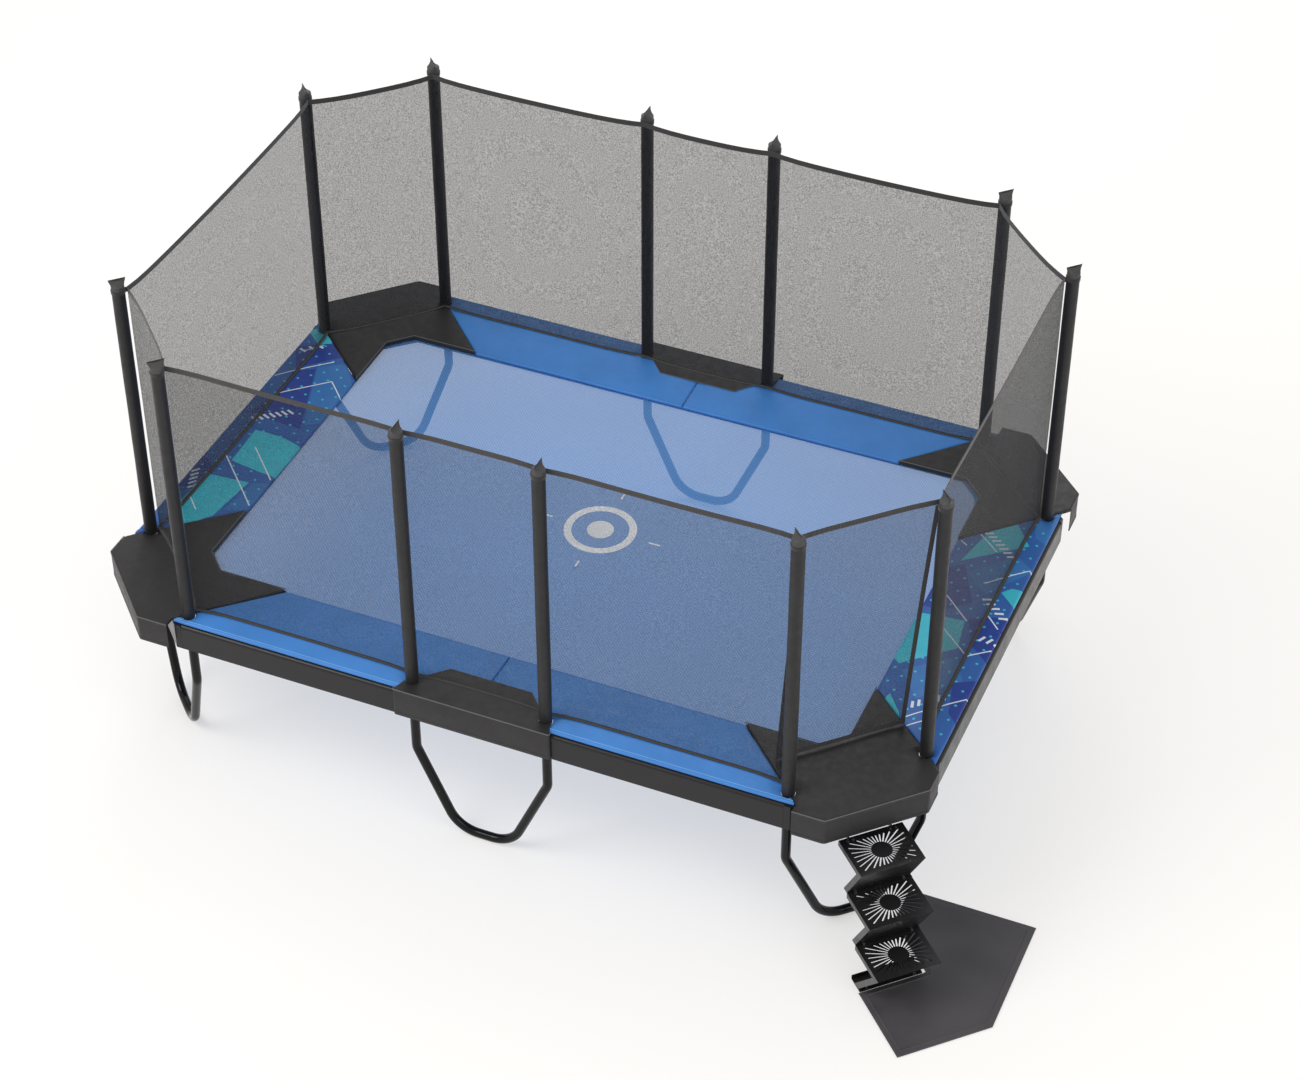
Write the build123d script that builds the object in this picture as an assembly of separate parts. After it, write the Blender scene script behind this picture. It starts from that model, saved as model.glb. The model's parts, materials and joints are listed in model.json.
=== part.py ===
"""Rectangular garden trampoline with a safety enclosure, a hook-on ladder and a ground mat.

Millimetres, +Z up. Everything is modelled about the bed's centre with the ground at z = 0,
the long sides along X and the ladder at the +X -Y corner. save() then moves it so that the
origin is the middle of the whole footprint.
"""
import os
from math import atan2, cos, degrees, radians, sin, sqrt

from build123d import *

os.makedirs("parts", exist_ok=True)

ROOT2 = sqrt(2)
GAP = 0.4                    # clearance between neighbouring parts

# plan of the twelve poles
MID_POLE_X = 355
LONG_X, LONG_Y = 1595, 1452
SHORT_X, SHORT_Y = 2100, 954
HALF_SPAN = 355              # half the distance between the two poles of one leg

# heights
RAIL_LOW, RAIL_TOP = 778, 925
PAD_TOP = 946
COVER_TOP = 950
SLEEVE_LOW, SLEEVE_TOP = 932, 2474
NET_LOW, NET_TOP = 954, 2425
MAT_TOP = 908
SPRING_Z = 899

# tubes
TUBE_R, TUBE_WALL = 24, 2
SOCKET_R = 29.5
SLEEVE_R = 33
NOTCH_R = 35

# frame rails: outer face of the long sides, the short sides and the corners
RAIL_WIDE = 48
RAIL_WALL = 2.5
RAIL_Y, RAIL_X, RAIL_N = 1530, 2178, 2238
RAIL_ROUND = 18
LIP_WIDE, LIP_THICK, LIP_Z = 36, 3, 893
LONG_RAIL_END = 1601
SHORT_RAIL_END = 956

# bed
BED_X, BED_Y, BED_N = 1790, 1150, 1950
BORDER_WIDE = 50

# pads and covers
PAD_Y, PAD_X = 1516, 2164
PAD_IN_Y, PAD_IN_X = 1094, 1730
PAD_IN_N = 1915
COVER_Y, COVER_X = 1571, 2200
COVER_LOW = 800

# net line on each side
NET_Y, NET_X, NET_N = 1395, 2055, 2097

# ladder, in the plane of the corner: N outwards, W along the corner
STEP_N, STEP_Z = 2342, 730
STEP_DEEP, STEP_RUN, STEP_RISE = 253, 118, 239
STEP_WIDE, SHEET = 330, 3
LADDER_W = 445
BAR_N, BAR_Z, BAR_R = 2283, 850, 10
FOOT_REAR, FOOT_FRONT = 2560, 2655

# ground mat
GROUND_MAT_X, GROUND_MAT_Y = 2723, 958
GROUND_MAT_N = 3085

SHIFT = ((COVER_X - GROUND_MAT_X) / 2, ((GROUND_MAT_N - 271) / ROOT2 - COVER_Y) / 2, 0)


def save(name, part):
    export_step(Pos(*SHIFT) * part, f"parts/{name}.step")


def group(solids):
    """Separate solids as one node."""
    return Compound(list(solids))


def prism(points, low, high):
    """A plan outline raised from low to high."""
    face = make_face(Polyline(*[(x, y, low) for x, y in points], close=True))
    return extrude(face, amount=high - low, dir=(0, 0, 1))


def box(x, y, z):
    """A box from (low, high) pairs."""
    size = [b - a for a, b in (x, y, z)]
    middle = [(a + b) / 2 for a, b in (x, y, z)]
    return Pos(*middle) * Box(*size)


def rod(start, end, radius):
    """A round bar between two points."""
    a, b = Vector(*start), Vector(*end)
    plane = Plane(origin=a, z_dir=b - a)
    return extrude(plane * Circle(radius), amount=(b - a).length)


def flip(points, sx, sy):
    return [(sx * x, sy * y) for x, y in points]


def to_corner(part):
    """From the ladder's own axes (N, W, Z) to the model's."""
    return Rot(0, 0, -45) * part


# ---------------------------------------------------------------- stations
def stations():
    """The six legs: name, middle point and the turn that points local +Y outwards."""
    found = [("front_middle", 0, -LONG_Y, 180), ("back_middle", 0, LONG_Y, 0)]
    for side_y, sy in (("front", -1), ("back", 1)):
        for side_x, sx in (("left", -1), ("right", 1)):
            normal = degrees(atan2(sy * (SHORT_X - LONG_X), sx * (LONG_Y - SHORT_Y)))
            middle = (sx * (LONG_X + SHORT_X) / 2, sy * (LONG_Y + SHORT_Y) / 2)
            found.append((f"{side_y}_{side_x}", *middle, normal - 90))
    return found


def at_station(station, part):
    _, x, y, turn = station
    return Pos(x, y, 0) * Rot(0, 0, turn) * part


def at_poles(part):
    """One copy of a part at each of the twelve poles."""
    return [at_station(s, Pos(side * HALF_SPAN, 0, 0) * part) for s in stations() for side in (-1, 1)]


def pole_points():
    return [(sx * x, sy * y) for x, y in ((MID_POLE_X, LONG_Y), (LONG_X, LONG_Y), (SHORT_X, SHORT_Y))
            for sx in (-1, 1) for sy in (-1, 1)]


def notched(part, low, high):
    """Cut the pole notches that fall inside a pad or cover."""
    area = part.bounding_box()
    for x, y in pole_points():
        near_x = area.min.X - NOTCH_R < x < area.max.X + NOTCH_R
        near_y = area.min.Y - NOTCH_R < y < area.max.Y + NOTCH_R
        if near_x and near_y:
            part -= rod((x, y, low - 1), (x, y, high + 1), NOTCH_R)
    return part


# ---------------------------------------------------------------- legs, sockets, poles
LEG_TOP, POLE_LOW = 848, 853
LEG_SCREW_Z, POLE_SCREW_Z = 815, 885
LEG_BEND = (HALF_SPAN, 505)
LEG_FOOT = (146, TUBE_R)


def bend(corner, before, after, radius):
    """Tangent points and middle of the arc that rounds a corner."""
    c = Vector(*corner)
    d1, d2 = (Vector(*before) - c).normalized(), (Vector(*after) - c).normalized()
    half = radians(d1.get_angle(d2)) / 2
    reach = radius * cos(half) / sin(half)
    axis = (d1 + d2).normalized()
    return c + d1 * reach, c + axis * (radius / sin(half) - radius), c + d2 * reach


def bent_path(points, radii):
    """Straight runs joined by arcs."""
    edges, last = [], Vector(*points[0])
    for i, radius in enumerate(radii, 1):
        start, middle, end = bend(points[i], points[i - 1], points[i + 1], radius)
        edges += [Line(last, start), ThreePointArc(start, middle, end)]
        last = end
    edges.append(Line(last, Vector(*points[-1])))
    return Wire(edges)


def leg():
    """A bent tube with a screw hole in the inner side of each end."""
    half = [(HALF_SPAN, 0, LEG_TOP), (LEG_BEND[0], 0, LEG_BEND[1]), (LEG_FOOT[0], 0, LEG_FOOT[1])]
    points = half + [(-x, y, z) for x, y, z in reversed(half)]
    path = bent_path(points, (90, 165, 165, 90))
    start = Plane(origin=points[0], z_dir=(0, 0, -1))
    tube = sweep(start * Circle(TUBE_R), path=path) - sweep(start * Circle(TUBE_R - TUBE_WALL), path=path)
    for side in (-1, 1):
        tube -= rod((side * HALF_SPAN, -40, LEG_SCREW_Z), (side * HALF_SPAN, -10, LEG_SCREW_Z), 3.4)
    return tube


def tube(radius, wall, low, high):
    return Pos(0, 0, low) * extrude(Circle(radius) - Circle(radius - wall), amount=high - low)


def socket():
    part = tube(SOCKET_R, SOCKET_R - TUBE_R - GAP, 770, 930)
    for z in (LEG_SCREW_Z, POLE_SCREW_Z):
        part -= rod((0, -40, z), (0, -10, z), 3.4)
    return part


def screw(z):
    return rod((0, -SOCKET_R - GAP, z), (0, -18, z), 3) + rod((0, -SOCKET_R - 5, z), (0, -SOCKET_R - GAP, z), 6)


def pole():
    part = tube(TUBE_R, TUBE_WALL, POLE_LOW, SLEEVE_TOP - 12)
    return part - rod((0, -40, POLE_SCREW_Z), (0, -10, POLE_SCREW_Z), 3.4)


def pole_plug():
    """A plastic plug with a flange that closes the pole's top."""
    top = SLEEVE_TOP - 12 + GAP
    return rod((0, 0, top - 25), (0, 0, top + 0.1), TUBE_R - TUBE_WALL - GAP) + rod((0, 0, top), (0, 0, top + 5), TUBE_R)


def sleeve():
    """A padded sleeve whose top is pressed flat into a seam that points outwards."""
    wall = tube(SLEEVE_R, SLEEVE_R - TUBE_R - GAP, SLEEVE_LOW, SLEEVE_TOP - 6)
    lid = Pos(0, 0, SLEEVE_TOP - 6) * extrude(Circle(SLEEVE_R), amount=6)
    pinch = loft([Pos(0, 0, SLEEVE_TOP) * Circle(SLEEVE_R), Pos(0, 0, SLEEVE_TOP + 38) * Ellipse(3, 43)])
    return wall + lid + pinch


for station in stations():
    save(f"leg_{station[0]}", at_station(station, leg()))
save("pole_sockets", group(at_poles(socket())))
save("socket_screws", group(at_poles(screw(LEG_SCREW_Z)) + at_poles(screw(POLE_SCREW_Z))))
save("poles", group(at_poles(pole())))
save("pole_plugs", group(at_poles(pole_plug())))
save("pole_sleeves", group(at_poles(sleeve())))


# ---------------------------------------------------------------- springs and where they hang
SPRING_PITCH = 88
LONG_SPRINGS = [s * (44 + SPRING_PITCH * i) for i in range(4) for s in (-1, 1)]
LONG_SPRINGS += [s * (402 + SPRING_PITCH * i) for i in range(14) for s in (-1, 1)]
SHORT_SPRINGS = [s * (44 + SPRING_PITCH * i) for i in range(10) for s in (-1, 1)]
CORNER_SPRINGS = [-SPRING_PITCH, 0, SPRING_PITCH]
HOOK_IN = 4                  # from the bed's edge to the hook in the ring
HOOK_OUT = 18                # from the rail's inner face to the hook in the lip
CORNER_MID_W = (LONG_X + SHORT_X - LONG_Y - SHORT_Y) / 2 / ROOT2


def spring_places():
    """For each spring: a location with local +Y outwards and origin at the bed's edge, and its reach."""
    inner = RAIL_WIDE
    long_reach = RAIL_Y - inner - BED_Y
    short_reach = RAIL_X - inner - BED_X
    corner_reach = RAIL_N - inner - BED_N
    places = []
    for turn, sy in ((0, 1), (180, -1)):
        places += [(Pos(x, sy * BED_Y, 0) * Rot(0, 0, turn), long_reach) for x in LONG_SPRINGS]
    for turn, sx in ((-90, 1), (90, -1)):
        places += [(Pos(sx * BED_X, y, 0) * Rot(0, 0, turn), short_reach) for y in SHORT_SPRINGS]
    for sx in (-1, 1):
        for sy in (-1, 1):
            turn = degrees(atan2(sy, sx)) - 90
            for w in CORNER_SPRINGS:
                along = (w + CORNER_MID_W) / ROOT2
                x, y = BED_N / ROOT2 + along, BED_N / ROOT2 - along
                places.append((Pos(sx * x, sy * y, 0) * Rot(0, 0, turn), corner_reach))
    return places


def spring(reach):
    """A coil stood in by a cylinder, with an end hook over the ring and one over the frame lip."""
    near, far = HOOK_IN, reach - HOOK_OUT
    coil_near, coil_far = near + 34, far - 28
    top = SPRING_Z + 7
    part = rod((0, coil_near, SPRING_Z), (0, coil_far, SPRING_Z), 11)
    part += rod((0, near, top), (0, coil_near + 4, top), 2)
    part += rod((0, coil_far - 4, top), (0, far, top), 2)
    part += rod((0, near, top + 2.5), (0, near, top - 10), 2.5)
    part += rod((0, far, top + 2.5), (0, far, top - 17), 2.5)
    return part


def ring():
    """A triangular wire ring sewn under the bed's edge, point outwards."""
    outer = make_face(Polyline((-22, -22), (22, -22), (0, 24), close=True))
    inner = make_face(Polyline((-14, -17), (14, -17), (0, 13), close=True))
    return Pos(0, 0, SPRING_Z - 2) * extrude(outer - inner, amount=4)


springs = {reach: spring(reach) for reach in {reach for _, reach in spring_places()}}
save("bed_springs", group(place * springs[reach] for place, reach in spring_places()))
one_ring = ring()
save("mat_rings", group(place * one_ring for place, _ in spring_places()))


# ---------------------------------------------------------------- frame rails
def rounded(width, height, big):
    """A rail section centred on its own middle; the outer top corner has the large radius."""
    shape = Rectangle(width, height)
    corner = shape.vertices().sort_by(Axis.Y)[-2:].sort_by(Axis.X)[-1]
    return fillet(corner, big)


def rail_section():
    """Local X outwards from the rail's inner face, local Y up."""
    high = RAIL_TOP - RAIL_LOW
    shape = rounded(RAIL_WIDE, high, RAIL_ROUND)
    shape -= rounded(RAIL_WIDE - 2 * RAIL_WALL, high - 2 * RAIL_WALL, RAIL_ROUND - RAIL_WALL)
    middle = (RAIL_LOW + RAIL_TOP) / 2
    shape = Pos(RAIL_WIDE / 2, middle) * shape
    return shape + Pos(-LIP_WIDE / 2 + 0.5, LIP_Z + LIP_THICK / 2) * Rectangle(LIP_WIDE + 1, LIP_THICK)


def straight_rail(length):
    """Along local -X from the origin, outwards along local +Y."""
    plane = Plane(origin=(0, 0, 0), x_dir=(0, 1, 0), z_dir=(1, 0, 0))
    return extrude(plane * rail_section(), amount=length)


def lip_cuts(place, reach):
    """The hole in the lip for one spring's hook."""
    return place * rod((0, reach - HOOK_OUT, LIP_Z - 5), (0, reach - HOOK_OUT, LIP_Z + 8), 4)


def cut_lip(rail, notches):
    """Spring holes and socket reliefs that fall on a rail."""
    area = rail.bounding_box()
    for place, reach in spring_places():
        hole = lip_cuts(place, reach)
        centre = hole.bounding_box().center()
        if area.min.X < centre.X < area.max.X and area.min.Y < centre.Y < area.max.Y:
            rail -= hole
    for relief in notches:
        rail -= relief
    return rail


def bolt_hole(x, y, z, direction):
    dx, dy = direction
    return rod((x - 6 * dx, y - 6 * dy, z), (x + 14 * dx, y + 14 * dy, z), 5.4)


def bolt(x, y, z, direction):
    """A frame bolt put in from the inner face of a rail, pointing along direction."""
    dx, dy = direction
    shank = rod((x - GAP * dx, y - GAP * dy, z), (x + 22 * dx, y + 22 * dy, z), 5)
    head = rod((x - 7 * dx, y - 7 * dy, z), (x - GAP * dx, y - GAP * dy, z), 9)
    return shank + head


LONG_BOLTS = [(40, 815), (40, 868), (1530, 815), (1530, 868)]
SHORT_BOLTS = [(900, 815), (900, 868), (-900, 815), (-900, 868)]
IN_Y, IN_X = RAIL_Y - RAIL_WIDE, RAIL_X - RAIL_WIDE
bolts = []

for name_x, sx in (("left", -1), ("right", 1)):
    for name_y, sy in (("front", -1), ("back", 1)):
        rail = Pos(1, IN_Y, 0) * straight_rail(LONG_RAIL_END - 1)
        reliefs = [box((x - 33, x + 33), (IN_Y - 40, IN_Y), (LIP_Z - 5, LIP_Z + 8)) for x in (MID_POLE_X, LONG_X)]
        for x, z in LONG_BOLTS:
            reliefs.append(bolt_hole(x, IN_Y, z, (0, 1)))
            bolts.append(bolt(sx * x, sy * IN_Y, z, (0, sy)))
        rail = cut_lip(rail, reliefs)
        rail = rail if sx > 0 else mirror(rail, about=Plane.YZ)
        rail = rail if sy > 0 else mirror(rail, about=Plane.XZ)
        save(f"rail_{name_y}_{name_x}", rail)

for name, sx in (("left", -1), ("right", 1)):
    rail = Pos(IN_X, SHORT_RAIL_END, 0) * Rot(0, 0, -90) * straight_rail(2 * SHORT_RAIL_END)
    reliefs = [box((IN_X - 40, IN_X), (y - 33, y + 33), (LIP_Z - 5, LIP_Z + 8)) for y in (SHORT_Y, -SHORT_Y)]
    for y, z in SHORT_BOLTS:
        reliefs.append(bolt_hole(IN_X, y, z, (1, 0)))
        bolts.append(bolt(sx * IN_X, y, z, (sx, 0)))
    rail = cut_lip(rail, reliefs)
    save(f"rail_{name}", rail if sx > 0 else mirror(rail, about=Plane.YZ))
save("rail_bolts", group(bolts))


def corner_band(outer, inner, ends):
    """Plan of a band round a corner, from (Y, N, X) of its two faces and its two end positions."""
    def turn(face):
        y, n, x = face
        return [(n * ROOT2 - y, y), (x, n * ROOT2 - x)]

    end_x, end_y = ends
    near = [(end_x, outer[0])] + turn(outer) + [(outer[2], end_y)]
    far = [(inner[2], end_y)] + turn(inner)[::-1] + [(end_x, inner[0])]
    return near + far


def corner_rail():
    outer = (RAIL_Y, RAIL_N, RAIL_X)
    inner = tuple(v - RAIL_WIDE for v in outer)
    ends = (LONG_RAIL_END + 1, SHORT_RAIL_END + 1)
    rail = prism(corner_band(outer, inner, ends), RAIL_LOW, RAIL_TOP)
    hollow_out = tuple(v - RAIL_WALL for v in outer)
    hollow_in = tuple(v + RAIL_WALL for v in inner)
    long_ends = (ends[0] - 5, ends[1] - 5)
    rail -= prism(corner_band(hollow_out, hollow_in, long_ends), RAIL_LOW + RAIL_WALL, RAIL_TOP - RAIL_WALL)
    lip = [(inner[1] + dn, CORNER_MID_W + dw) for dn, dw in ((-36, -315), (1, -315), (1, 315), (-36, 315))]
    plan = [((n + w) / ROOT2, (n - w) / ROOT2) for n, w in lip]
    return cut_lip(rail + prism(plan, LIP_Z, LIP_Z + LIP_THICK), [])


one_corner_rail = corner_rail()
for name_x, sx in (("left", -1), ("right", 1)):
    for name_y, sy in (("front", -1), ("back", 1)):
        rail = one_corner_rail if sx > 0 else mirror(one_corner_rail, about=Plane.YZ)
        rail = rail if sy > 0 else mirror(rail, about=Plane.XZ)
        save(f"corner_rail_{name_y}_{name_x}", rail)


def joiner(length, bolt_at):
    """A square tube that slides into two rail ends, along local X."""
    wide = RAIL_WIDE - 2 * RAIL_WALL - 1
    low, high = RAIL_LOW + RAIL_WALL + 1, 904
    part = box((0, length), (-wide / 2, wide / 2), (low, high))
    part -= box((-1, length + 1), (-wide / 2 + 3, wide / 2 - 3), (low + 3, high - 3))
    for x in bolt_at:
        for z in (815, 868):
            part -= rod((x, -wide / 2 - 2, z), (x, -wide / 2 + 6, z), 5.4)
    return part


def joiners():
    middle_y, middle_x = RAIL_Y - RAIL_WIDE / 2, RAIL_X - RAIL_WIDE / 2
    centre = Pos(-90, middle_y, 0) * joiner(180, (50, 130))
    long_end = Pos(1490, middle_y, 0) * joiner(120, (40,))
    short_end = Pos(middle_x, 960, 0) * Rot(0, 0, -90) * joiner(100, (60,))
    parts = [centre, mirror(centre, about=Plane.XZ)]
    for part in (long_end, short_end):
        across = [part, mirror(part, about=Plane.YZ)]
        parts += across + [mirror(p, about=Plane.XZ) for p in across]
    return parts


save("rail_joiners", group(joiners()))


# ---------------------------------------------------------------- bed
def octagon(x, y, n):
    quarter = [(n * ROOT2 - y, y), (x, n * ROOT2 - x)]
    right = quarter + [(a, -b) for a, b in reversed(quarter)]
    return right + [(-a, b) for a, b in reversed(right)]


def ring_strips(outer, wide, low, high):
    """The eight strips of a band that runs round the bed, mitred and slightly apart."""
    far = octagon(*outer)
    near = octagon(*(v - wide for v in outer))
    strips = []
    for i in range(8):
        j = (i + 1) % 8
        plan = [far[i], far[j], near[j], near[i]]
        centre = [sum(p[k] for p in plan) / 4 for k in (0, 1)]
        plan = [(x + (centre[0] - x) * 0.0015, y + (centre[1] - y) * 0.0015) for x, y in plan]
        strips.append(prism(plan, low, high))
    return strips


save("jumping_mat", prism(octagon(BED_X, BED_Y, BED_N), MAT_TOP - 3, MAT_TOP))
save("mat_border", group(ring_strips((BED_X, BED_Y, BED_N), BORDER_WIDE, MAT_TOP - 6, MAT_TOP - 3 - GAP)))


# ---------------------------------------------------------------- pads and covers
PAD_THICK = 20
SEAM = 1                     # half the gap between two pads
CORNER_IN_LONG = LONG_X - (LONG_Y - PAD_IN_Y)
CORNER_IN_SHORT = 612


def long_pad():
    """One half of a long side's pad: flat outside the net, sloping down to the bed inside it."""
    side = [(PAD_Y, PAD_TOP), (NET_Y, PAD_TOP), (PAD_IN_Y, PAD_TOP - 15),
            (PAD_IN_Y, PAD_TOP - 15 - PAD_THICK), (NET_Y, PAD_TOP - PAD_THICK + GAP),
            (PAD_Y, PAD_TOP - PAD_THICK + GAP)]
    face = make_face(Polyline(*[(0, y, z) for y, z in side], close=True))
    slab = extrude(face, amount=LONG_X + 100, dir=(1, 0, 0))
    outer_x = LONG_X + PAD_Y - LONG_Y
    plan = [(SEAM, PAD_IN_Y - 5), (CORNER_IN_LONG - 5 - SEAM, PAD_IN_Y - 5),
            (outer_x + 5 - SEAM - 14, PAD_Y + 5 - 14), (outer_x - 14, PAD_Y + 5), (SEAM, PAD_Y + 5)]
    return notched(slab & prism(plan, 800, 1000), 800, 1000)


def short_pad():
    """A short side's pad, with the same section as the long one."""
    side = [(PAD_X, PAD_TOP), (NET_X, PAD_TOP), (PAD_IN_X, PAD_TOP - 15),
            (PAD_IN_X, PAD_TOP - 15 - PAD_THICK), (NET_X, PAD_TOP - PAD_THICK + GAP),
            (PAD_X, PAD_TOP - PAD_THICK + GAP)]
    face = make_face(Polyline(*[(x, -1100, z) for x, z in side], close=True))
    slab = extrude(face, amount=2200, dir=(0, 1, 0))
    slope = (SHORT_Y - CORNER_IN_SHORT) / (SHORT_X - PAD_IN_X)
    y_in, y_out = CORNER_IN_SHORT - 5 * slope - SEAM, SHORT_Y + (PAD_X + 5 - SHORT_X) * slope - SEAM
    plan = [(PAD_IN_X - 5, y_in), (PAD_X + 5, y_out), (PAD_X + 5, -y_out), (PAD_IN_X - 5, -y_in)]
    return notched(slab & prism(plan, 800, 1000), 800, 1000)


def corner_cover():
    """A corner pad over the springs, the rail and the sockets, with a skirt round its outside."""
    shift = SEAM + 1
    inner = [(CORNER_IN_LONG + shift, PAD_IN_Y), (PAD_IN_N * ROOT2 - PAD_IN_Y, PAD_IN_Y),
             (PAD_IN_X, PAD_IN_N * ROOT2 - PAD_IN_X), (PAD_IN_X, CORNER_IN_SHORT + shift)]
    long_pole, short_pole = (LONG_X + shift, LONG_Y), (SHORT_X, SHORT_Y + shift)
    outer = [(COVER_X, 1055), (COVER_X, 1188), (1820, COVER_Y), (1655, COVER_Y)]
    inside = prism(inner + [short_pole, long_pole], MAT_TOP + 6, COVER_TOP)
    outside = prism([long_pole, short_pole, (PAD_X, 1016)] + outer + [(1655, 1512)], RAIL_TOP + 2, COVER_TOP)
    wall = [(COVER_X, 1055), (COVER_X, 1188), (1820, COVER_Y), (1655, COVER_Y), (1655, COVER_Y - 4),
            (1818, COVER_Y - 4), (COVER_X - 4, 1186), (COVER_X - 4, 1055)]
    part = inside + outside + prism(wall, COVER_LOW, COVER_TOP)
    return notched(part, COVER_LOW, COVER_TOP)


def middle_cover():
    """A cover over the middle leg's two sockets, with a skirt down the rail and a flap on the pads."""
    half = [(415, 1549), (384, LONG_Y), (330, 1430), (302, 1400), (217, 1308)]
    plan = half + [(-x, y) for x, y in reversed(half)]
    part = prism(plan, PAD_TOP + GAP, COVER_TOP) + box((-415, 415), (1545, 1549), (787, COVER_TOP))
    return notched(part, 787, COVER_TOP)


def in_quadrants(name, part):
    for name_x, sx in (("left", -1), ("right", 1)):
        for name_y, sy in (("front", -1), ("back", 1)):
            copy = part if sx > 0 else mirror(part, about=Plane.YZ)
            copy = copy if sy > 0 else mirror(copy, about=Plane.XZ)
            save(f"{name}_{name_y}_{name_x}", copy)


in_quadrants("pad", long_pad())
in_quadrants("corner_cover", corner_cover())
one_short_pad = short_pad()
save("pad_right", one_short_pad)
save("pad_left", mirror(one_short_pad, about=Plane.YZ))
one_middle_cover = middle_cover()
save("middle_cover_back", one_middle_cover)
save("middle_cover_front", mirror(one_middle_cover, about=Plane.XZ))


# ---------------------------------------------------------------- net
NET_THICK = 2
HEM_HIGH = 30


def net_panels(low, high, thick, gap):
    """The eight walls of the enclosure by name, from one pole line to the next."""
    line = octagon(NET_X, NET_Y, NET_N)
    names = ["corner_back_right", "right", "corner_front_right", "front",
             "corner_front_left", "left", "corner_back_left", "back"]
    panels = {}
    for i, name in enumerate(names):
        a, b = Vector(*line[i]), Vector(*line[(i + 1) % 8])
        along = (b - a).normalized()
        side = Vector(-along.Y, along.X) * (thick / 2)
        a, b = a + along * gap, b - along * gap
        plan = [(p.X, p.Y) for p in (a + side, b + side, b - side, a - side)]
        panels[name] = prism(plan, low, high)
    return panels


panels = net_panels(NET_LOW, NET_TOP, NET_THICK, 3)
for name, panel in panels.items():
    if name != "corner_front_right":
        save(f"net_{name}", panel)
save("top_hem", group(net_panels(NET_TOP + GAP, NET_TOP + HEM_HIGH, 3, 3).values()))
hems = net_panels(COVER_TOP + GAP, NET_LOW - GAP, 20, 12)
save("bottom_hem", group(hem for name, hem in hems.items() if name != "corner_front_right"))


def tie(corner, side):
    """A short strap from a pole sleeve to the top hem, in the leg's own axes."""
    lean = 0.37 if corner else 0
    step = Vector(-side * lean, -sqrt(1 - lean ** 2), 0)
    start = Vector(side * HALF_SPAN, 0, NET_TOP + HEM_HIGH / 2) + step * (SLEEVE_R + 1)
    return rod(start, start + step * 20, 4)


ties = [at_station(s, tie("middle" not in s[0], side)) for s in stations() for side in (-1, 1)]
save("net_ties", group(ties))


# ---------------------------------------------------------------- entrance, in the ladder's corner
FLAP_W = (128, 800)
FLAP_TOP, FLAP_LOW = 2422, 956
FLAP_IN = 152                # how far inwards the flap's foot hangs


def standing(profile, low, high):
    """An (N, Z) outline carried along W."""
    face = make_face(Polyline(*[(n, low, z) for n, z in profile], close=True))
    return extrude(face, amount=high - low, dir=(0, 1, 0))


def flap():
    half = NET_THICK / 2
    profile = [(NET_N - half, FLAP_TOP), (NET_N + half, FLAP_TOP),
               (NET_N + half - FLAP_IN, FLAP_LOW), (NET_N - half - FLAP_IN, FLAP_LOW)]
    return standing(profile, *FLAP_W)


def gusset():
    profile = [(NET_N - 5, FLAP_TOP - 10), (NET_N - 5, FLAP_LOW), (NET_N - FLAP_IN + 3, FLAP_LOW)]
    return standing(profile, FLAP_W[0] - 4, FLAP_W[0] - 2)


save("entrance_flap", to_corner(flap()))
save("flap_gusset", to_corner(gusset()))


# ---------------------------------------------------------------- ladder
LIP = 20                     # how far a riser's lip lies on the next tread
FLANGE = 30
STEP_W = (LADDER_W - STEP_WIDE / 2, LADDER_W + STEP_WIDE / 2)
RAYS = 30
RAY_START, RAY_WIDTH = 50, 6.5
RAY_REACH = (95, 143)        # half depth and half width of the patch that the rays fill
FOOT_THICK = 3


def step_rear(i):
    return STEP_N + STEP_RUN * i, STEP_Z - STEP_RISE * i


def rays(n, z):
    """Radial slots through a tread, clipped by a rectangle."""
    cuts = []
    for k in range(RAYS):
        angle = 2 * k / RAYS * 180 + 6
        c, s = abs(cos(radians(angle))), abs(sin(radians(angle)))
        reach = min(RAY_REACH[0] / max(c, 1e-6), RAY_REACH[1] / max(s, 1e-6))
        length = reach - RAY_START
        slot = extrude(SlotOverall(length, RAY_WIDTH), amount=3 * SHEET)
        cuts.append(Pos(n, LADDER_W, z) * Rot(0, 0, angle) * Pos(RAY_START + length / 2, 0, 0) * slot)
    return cuts


def on_slope(start, slope, z):
    """The (N, Z) point at height z on the line through start along slope."""
    return start[0] + slope.X * (z - start[1]) / slope.Z, z


def step(i):
    """A tread, the riser below it and their side flanges, bent from one sheet."""
    n, z = step_rear(i)
    foot_n, foot_z = step_rear(i + 1) if i < 2 else (FOOT_FRONT - LIP, FOOT_THICK)
    low = foot_z + GAP
    front = (n + STEP_DEEP, z)
    foot = (foot_n, low + SHEET)
    slope = Vector(foot[0] - front[0], 0, foot[1] - front[1]).normalized()

    def behind(distance, height):
        return on_slope((front[0] + slope.Z * distance, front[1] - slope.X * distance), slope, height)

    sheet = [(n, z), front, foot, (foot_n + LIP, low + SHEET), (foot_n + LIP, low),
             behind(SHEET, low), behind(SHEET, z - SHEET), (n, z - SHEET)]
    side = [(n, z), front, foot, behind(0, low), behind(FLANGE, low), behind(FLANGE, z - FLANGE), (n, z - FLANGE)]
    part = standing(sheet, *STEP_W)
    part += standing(side, STEP_W[0], STEP_W[0] + SHEET) + standing(side, STEP_W[1] - SHEET, STEP_W[1])
    for cut in rays(n + STEP_DEEP / 2, z - 2 * SHEET):
        part -= cut
    for bolt_n, bolt_w, bolt_z, _ in ladder_bolt_places():
        if abs(bolt_z - z) < 8 or abs(bolt_z - foot_z) < 8:
            part -= rod((bolt_n, bolt_w, bolt_z - 12), (bolt_n, bolt_w, bolt_z + 8), 4.4)
    return part


HANGER_W = (LADDER_W - 110, LADDER_W + 110)
HANGER_BOLT_N = STEP_N + 16


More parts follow.
